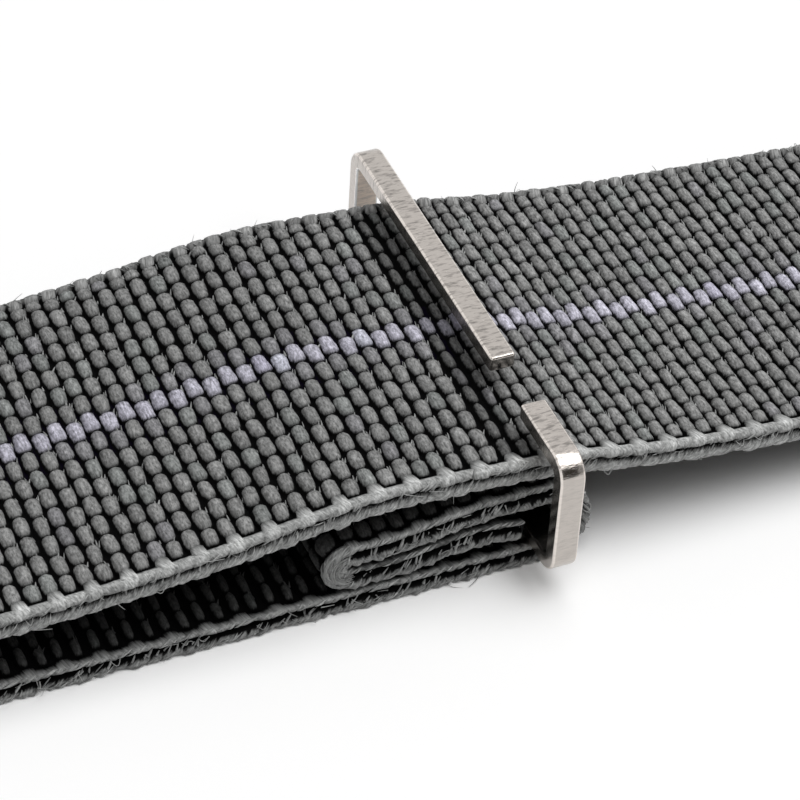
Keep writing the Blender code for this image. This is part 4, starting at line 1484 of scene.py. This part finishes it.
def bend_ring(metal, material):
    """The slider ring: flat strip bent into a rectangle, open on its upper side."""
    side, low = ring_corner(metal)[:2]
    line = ring_line(metal)
    middle_y, middle_z = line.points.T[:, :, None]
    section = strip_section(STRIP_WIDTH, metal.strip_thickness, metal.strip_rounding)
    out, wide = section.T[:, None]
    y, z = line.place(line.lengths[:, None], out)
    x = RING_X + wide + 0 * y
    stations, around = x.shape
    faces = wall_quads(stations, around).tolist()
    faces += [list(range(around))[::-1], list(range((stations - 1) * around, stations * around))]
    mesh = bpy.data.meshes.new("satin_slider_ring")
    mesh.from_pydata(np.stack((x, y, z), -1).reshape(-1, 3).tolist(), [], faces)
    mesh.materials.append(material)
    mesh.shade_smooth()

    flat = np.abs(section).max(axis=0) - metal.strip_rounding * ROLLED_SHARE
    rolled = (np.abs(out) > flat[0]) & (np.abs(wide) > flat[1])
    inside = out < -flat[0]
    rear_leg = inside & (middle_y > side) & (middle_z > low - WELD)
    inside_band_fold = inside & (middle_z < low - WELD)
    set_attribute(mesh, "brush", np.stack((line.lengths[:, None] + 0 * x, x, out + 0 * x), -1) / MM)
    set_attribute(mesh, "worn", np.where(z > RING_TOP - metal.strip_thickness, 1.0, RING_SIDE_WEAR))
    set_attribute(mesh, "edge", rolled + 0 * x)
    set_attribute(mesh, "inner", rear_leg)
    # Painted light on the rear leg's inner face, and painted shade on the lower bar's inner face inside the
    # band's fold
    set_attribute(mesh, "tint", np.where(rear_leg, REAR_LEG_PAINTED_LIGHT, np.where(inside_band_fold, FOLD_PAINTED_SHADE, 1.0)))
    ring = add_object("satin_slider_ring", mesh)
    soften_ends(ring, metal)
    return ring


def soften_ends(ring, metal):
    """Round the strip's two cut ends, and keep the flat faces flat in the light."""
    bevel = ring.modifiers.new("ends", "BEVEL")
    bevel.width = metal.strip_rounding
    bevel.segments = STRIP_END_SEGMENTS
    bevel.limit_method = "ANGLE"
    bevel.angle_limit = SHARP_ANGLE
    ring.modifiers.new("flat_faces", "WEIGHTED_NORMAL")


def filleted(corners):
    """Outline through (x, y, radius) corners, each rounded by its radius."""
    points = []
    for i, (x, y, radius) in enumerate(corners):
        corner = Vector((x, y))
        back = (Vector(corners[i - 1][:2]) - corner).normalized()
        ahead = (Vector(corners[(i + 1) % len(corners)][:2]) - corner).normalized()
        half = back.angle(ahead) / 2
        centre = corner + (back + ahead).normalized() * radius / math.sin(half)
        first = corner + back * radius / math.tan(half) - centre
        last = corner + ahead * radius / math.tan(half) - centre
        turn = first.angle_signed(last)
        for k in range(CORNER_STEPS + 1):
            points.append(centre + Matrix.Rotation(-turn * k / CORNER_STEPS, 2) @ first)
    return points


def rectangle(low, high, corner):
    """Outline of a rectangle with rounded corners."""
    return filleted([(*low, corner), (high[0], low[1], corner), (*high, corner), (low[0], high[1], corner)])


def stamp_plate(name, loops, metal):
    """Flat plate cut from closed outlines, the first outside and the rest holes, its edges rolled."""
    curve = bpy.data.curves.new(name, "CURVE")
    curve.dimensions = "2D"
    curve.fill_mode = "BOTH"
    curve.extrude = metal.plate_thickness / 2
    for loop in loops:
        spline = curve.splines.new("POLY")
        spline.points.add(len(loop) - 1)
        for point, co in zip(spline.points, loop):
            point.co = (*co, 0, 1)
        spline.use_cyclic_u = True
    blank = add_object(name, curve)
    sheet = bpy.data.meshes.new_from_object(blank.evaluated_get(bpy.context.evaluated_depsgraph_get()))
    bpy.data.objects.remove(blank)
    bm = bmesh.new()
    bm.from_mesh(sheet)
    bpy.data.meshes.remove(sheet)
    bmesh.ops.remove_doubles(bm, verts=bm.verts, dist=WELD)
    crease = [edge for edge in bm.edges if edge.calc_face_angle(0) > SHARP_ANGLE]
    bmesh.ops.bevel(
        bm, geom=crease, offset=metal.plate_rounding, segments=PLATE_SEGMENTS, profile=0.5, affect="EDGES")
    brush = bm.verts.layers.float_vector.new("brush")
    worn = bm.verts.layers.float.new("worn")
    edge = bm.verts.layers.float.new("edge")
    bm.verts.layers.float.new("inner")
    tint = bm.verts.layers.float.new("tint")
    for vert in bm.verts:
        vert[brush] = Vector((vert.co.y, vert.co.x, vert.co.z)) / MM
        vert[worn] = PLATE_WEAR
        vert[tint] = 1.0
        rolled = abs(vert.co.z) < metal.plate_thickness / 2 - WELD
        vert[edge] = 1.0 if rolled else 0.0
    return bm


def curl_tongue(bm, metal):
    """Bend the hook's tongue down and back in a half circle, with its lip straight again."""
    curl = (HOOK_THROAT + metal.plate_thickness) / 2
    for i in range(CURL_STEPS + 1):
        place = (-HOOK_LENGTH - math.pi * curl * i / CURL_STEPS, 0, 0)
        parts = bm.verts[:] + bm.edges[:] + bm.faces[:]
        bmesh.ops.bisect_plane(bm, geom=parts, dist=WELD, plane_co=place, plane_no=(1, 0, 0))
    for vert in bm.verts:
        past = -vert.co.x - HOOK_LENGTH
        if past > 0:
            turn = min(past / curl, math.pi)
            reach = curl + vert.co.z
            vert.co.x = -HOOK_LENGTH - reach * math.sin(turn) + past - turn * curl
            vert.co.z = -curl + reach * math.cos(turn)


def tilt_to_table(reach, depth):
    """Angle that lowers a point, reach out from the bar and depth below it, to the table."""
    return math.asin(BAR_HEIGHT / math.hypot(reach, depth)) - math.atan2(depth, reach)


def finish_plate(name, bm, bar_x, tilt, material):
    """Plate's object, tilted about its bar."""
    bm.transform(Matrix.Translation((bar_x, 0, BAR_HEIGHT)) @ Matrix.Rotation(tilt, 4, "Y"))
    bmesh.ops.recalc_face_normals(bm, faces=bm.faces)
    mesh = bpy.data.meshes.new(name)
    bm.to_mesh(mesh)
    bm.free()
    mesh.shade_smooth()
    mesh.materials.append(material)
    plate = add_object(name, mesh)
    plate.modifiers.new("flat_faces", "WEIGHTED_NORMAL")
    return plate


def form_hook(metal, material):
    """The hook clasp: a plate with a window for the band and a tongue curled under."""
    side = PLATE_WIDTH / 2
    tongue = HOOK_TONGUE_WIDTH / 2
    curl = (HOOK_THROAT + metal.plate_thickness) / 2
    lip_end = -HOOK_LENGTH - math.pi * curl - HOOK_LIP
    blank = filleted((
        (BAR_WIDTH / 2, -side, BAR_WIDTH / 2),
        (BAR_WIDTH / 2, side, BAR_WIDTH / 2),
        (-HOOK_FRAME_END, side, CORNER_ROUND),
        (-HOOK_FRAME_END, tongue, HOOK_FILLET),
        (lip_end, tongue, LIP_ROUND),
        (lip_end, -tongue, LIP_ROUND),
        (-HOOK_FRAME_END, -tongue, HOOK_FILLET),
        (-HOOK_FRAME_END, -side, CORNER_ROUND),
    ))
    window = rectangle((-HOOK_WINDOW_END, -WINDOW_SIDE), (-BAR_WIDTH / 2, WINDOW_SIDE), WINDOW_ROUND)
    bm = stamp_plate("formed_hook_plate", (blank, window), metal)
    curl_tongue(bm, metal)
    tilt = -tilt_to_table(HOOK_LENGTH - HOOK_LIP, 2 * curl + metal.plate_thickness / 2)
    return finish_plate("formed_hook_plate", bm, HOOK_BAR_X, tilt, material)


def stamp_catch(metal, material):
    """The catch: a flat plate with one window, shared by the band's turn and the hook."""
    side = PLATE_WIDTH / 2
    outer = filleted((
        (-BAR_WIDTH / 2, -side, BAR_WIDTH / 2),
        (CATCH_REACH, -side, CORNER_ROUND),
        (CATCH_REACH, side, CORNER_ROUND),
        (-BAR_WIDTH / 2, side, BAR_WIDTH / 2),
    ))
    window = rectangle((BAR_WIDTH / 2, -WINDOW_SIDE), (CATCH_WINDOW_END, WINDOW_SIDE), WINDOW_ROUND)
    bm = stamp_plate("window_catch_plate", (outer, window), metal)
    tilt = tilt_to_table(CATCH_REACH, metal.plate_thickness / 2)
    return finish_plate("window_catch_plate", bm, CATCH_BAR_X, tilt, material)


def seen_share(tree):
    """1 where a surface is seen, straight or in metal or glass, and 0 where it only gives light."""
    outputs = tree.nodes.new("ShaderNodeLightPath").outputs
    return math_node(
        tree, "MAXIMUM", outputs["Is Camera Ray"], outputs["Is Glossy Ray"], outputs["Is Transmission Ray"])


def add_plane(name, material, **place):
    """Plane of the stage."""
    bpy.ops.mesh.primitive_plane_add(**place)
    plane = bpy.context.object
    plane.name = name
    plane.data.materials.append(material)
    return plane


def lay_floor(stage):
    """Plain pale floor; the camera sees it a little lighter, so that it fades to white."""
    material, tree, shader = new_material("floor")
    tree.nodes.remove(shader)
    real, shown = (
        add_node(tree, "ShaderNodeBsdfDiffuse", {"Color": (*colour, 1)}).outputs["BSDF"]
        for colour in (stage.floor, FLOOR_SHOWN))
    mix = add_node(tree, "ShaderNodeMixShader", {"Fac": seen_share(tree), 1: real, 2: shown})
    tree.links.new(mix.outputs["Shader"], tree.nodes["Material Output"].inputs["Surface"])
    add_plane("floor", material, size=FLOOR_SIZE)




def hang_card():
    """Dark card above the floor, where the photographer stands: metal shows it, the camera doesn't."""
    material, tree, shader = new_material("card")
    set_inputs(tree, shader, {"Base Color": CARD_COLOUR, "Roughness": 1.0})
    card = add_plane("card", material, size=1, location=CARD_CENTRE, rotation=(CARD_TURN, 0, 0))
    card.scale = (*CARD_SIZE, 1)
    card.visible_camera = False
    card.visible_shadow = False


def light_stage(stage):
    """Even white sky and one large lamp above the strap, to its right."""
    world = bpy.data.worlds.new("studio")
    world.use_nodes = True
    tree = world.node_tree
    set_inputs(tree, tree.nodes["Background"], {
        "Color": (1, 1, 1, 1),
        "Strength": remap(tree, seen_share(tree), 0, 1, stage.sky, 1.0),
    })
    bpy.context.scene.world = world
    lamp = bpy.data.lights.new("key", "AREA")
    lamp.shape = "SQUARE"
    lamp.size = KEY_SIZE
    lamp.energy = stage.key
    key = add_object("key", lamp)
    key.location = Vector((RING_X, 0, 0)) + KEY_WAY * KEY_DISTANCE
    key.rotation_mode = "QUATERNION"
    key.rotation_quaternion = KEY_WAY.to_track_quat("Z", "Y")


def place_camera(stage):
    """The camera at the photograph's angle."""
    azimuth, elevation, roll = stage.view_azimuth, stage.view_elevation, stage.view_roll
    level = Vector((math.cos(azimuth), -math.sin(azimuth), 0))
    ahead = Vector((
        math.sin(azimuth) * math.cos(elevation),
        math.cos(azimuth) * math.cos(elevation),
        -math.sin(elevation),
    ))
    rise = level.cross(ahead)
    right = level * math.cos(roll) + rise * math.sin(roll)
    up = rise * math.cos(roll) - level * math.sin(roll)
    target = Vector(stage.view_target) + Vector((RING_X, 0, 0))
    data = bpy.data.cameras.new("camera")
    data.lens = stage.lens
    data.sensor_width = SENSOR_WIDTH
    data.clip_start = NEAREST_SEEN
    camera = add_object("camera", data)
    turn = Matrix((right, up, -ahead)).transposed()
    camera.matrix_world = Matrix.Translation(target - ahead * stage.view_distance) @ turn.to_4x4()
    bpy.context.scene.camera = camera


class STRAP_OT_set_stage(bpy.types.Operator):
    """Place the camera, the floor and the lamps"""
    bl_idname = "strap.set_stage"
    bl_label = "Set the stage"

    def execute(self, context):
        stage = context.scene.strap_stage
        place_camera(stage)
        lay_floor(stage)
        light_stage(stage)
        hang_card()
        context.scene.view_settings.view_transform = "Standard"
        return {"FINISHED"}


class STRAP_OT_weave_band(bpy.types.Operator):
    """Weave the band's stretches, from the hook turn to the catch turn and back under the ring"""
    bl_idname = "strap.weave_band"
    bl_label = "Weave the band"

    def execute(self, context):
        band = context.scene.strap_band
        webbing = webbing_material(band)
        for stretch in strap_stretches():
            piece = weave(stretch, band, webbing)
            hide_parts(stretch.node)
            place_stretch(piece, stretch)
        return {"FINISHED"}


class STRAP_OT_raise_fibres(bpy.types.Operator):
    """Raise the stray fibres along the band's edges, at its hems and on its floats"""
    bl_idname = "strap.raise_fibres"
    bl_label = "Raise the stray fibres"

    def execute(self, context):
        band, fibres = context.scene.strap_band, context.scene.strap_fibres
        loose = fibre_material()
        for stretch in strap_stretches():
            place_stretch(raise_fibres(stretch, band, fibres, loose), stretch)
        return {"FINISHED"}


class STRAP_OT_sew_tails(bpy.types.Operator):
    """Sew the two tails down with rows of stitches across the band"""
    bl_idname = "strap.sew_tails"
    bl_label = "Sew the tails"

    def execute(self, context):
        fibres = context.scene.strap_fibres
        thread = thread_material("sewing_thread", fibres.thread)
        stretches = {stretch.name: stretch for stretch in strap_stretches()}
        for number, (name, rows) in enumerate(SEAMS):
            draws = np.random.default_rng([fibres.seed, FIRST_SEAM_SEED + number])
            lines = np.vstack([stitch_rows(stretches[of], offsets, fibres, draws) for of, offsets in rows])
            radii = np.full(lines.shape[:2], fibres.thread_radius)
            colours = np.tile(np.array(fibres.thread), (len(lines), 1))
            seam = tube_object(name, lines, radii, colours, STITCH_SIDES, thread)
            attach(seam, stretches[rows[0][0]].bodies[0])
        return {"FINISHED"}


class STRAP_OT_bend_ring(bpy.types.Operator):
    """Bend the slider ring from flat strip"""
    bl_idname = "strap.bend_ring"
    bl_label = "Bend the slider ring"

    def execute(self, context):
        metal = context.scene.strap_metal
        ring = bend_ring(metal, steel_material("ring_steel", metal))
        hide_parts("slider_ring")
        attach(ring, "ring")
        return {"FINISHED"}


class STRAP_OT_form_clasp(bpy.types.Operator):
    """Stamp and bend the hook clasp and the catch at the strap's two ends"""
    bl_idname = "strap.form_clasp"
    bl_label = "Form the hook and the catch"

    def execute(self, context):
        metal = context.scene.strap_metal
        for make, node, body in ((form_hook, "hook_clasp", "hook"), (stamp_catch, "catch_loop", "catch")):
            slot = body + "_steel"
            plate = make(metal, steel_material(slot, metal))
            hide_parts(node)
            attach(plate, body)
        return {"FINISHED"}


class STRAP_PT_panel(bpy.types.Panel):
    """Lists the steps that make the strap"""
    bl_idname = "STRAP_PT_panel"
    bl_label = "Elastic Watch Strap"
    bl_space_type = "VIEW_3D"
    bl_region_type = "UI"
    bl_category = "Strap"

    def draw(self, context):
        for step in STEPS:
            self.layout.operator(step.bl_idname)


SETTINGS = (
    ("strap_band", StrapBandSettings),
    ("strap_fibres", StrapFibreSettings),
    ("strap_metal", StrapMetalSettings),
    ("strap_stage", StrapStageSettings),
)
STEPS = (
    STRAP_OT_set_stage,
    STRAP_OT_weave_band,
    STRAP_OT_raise_fibres,
    STRAP_OT_sew_tails,
    STRAP_OT_bend_ring,
    STRAP_OT_form_clasp,
)


def register():
    """Register the settings, the steps and the panel."""
    for name, group in SETTINGS:
        bpy.utils.register_class(group)
        setattr(bpy.types.Scene, name, PointerProperty(type=group))
    for step in STEPS:
        bpy.utils.register_class(step)
    bpy.utils.register_class(STRAP_PT_panel)


def unregister():
    """Take the settings, the steps and the panel away again."""
    bpy.utils.unregister_class(STRAP_PT_panel)
    for step in reversed(STEPS):
        bpy.utils.unregister_class(step)
    for name, group in reversed(SETTINGS):
        delattr(bpy.types.Scene, name)
        bpy.utils.unregister_class(group)


def main():
    """Make the strap step by step."""
    register()
    for step in STEPS:
        category, name = step.bl_idname.split(".")
        if getattr(getattr(bpy.ops, category), name)() != {"FINISHED"}:
            raise RuntimeError(step.bl_label + " did not finish")


if __name__ == "__main__":
    main()
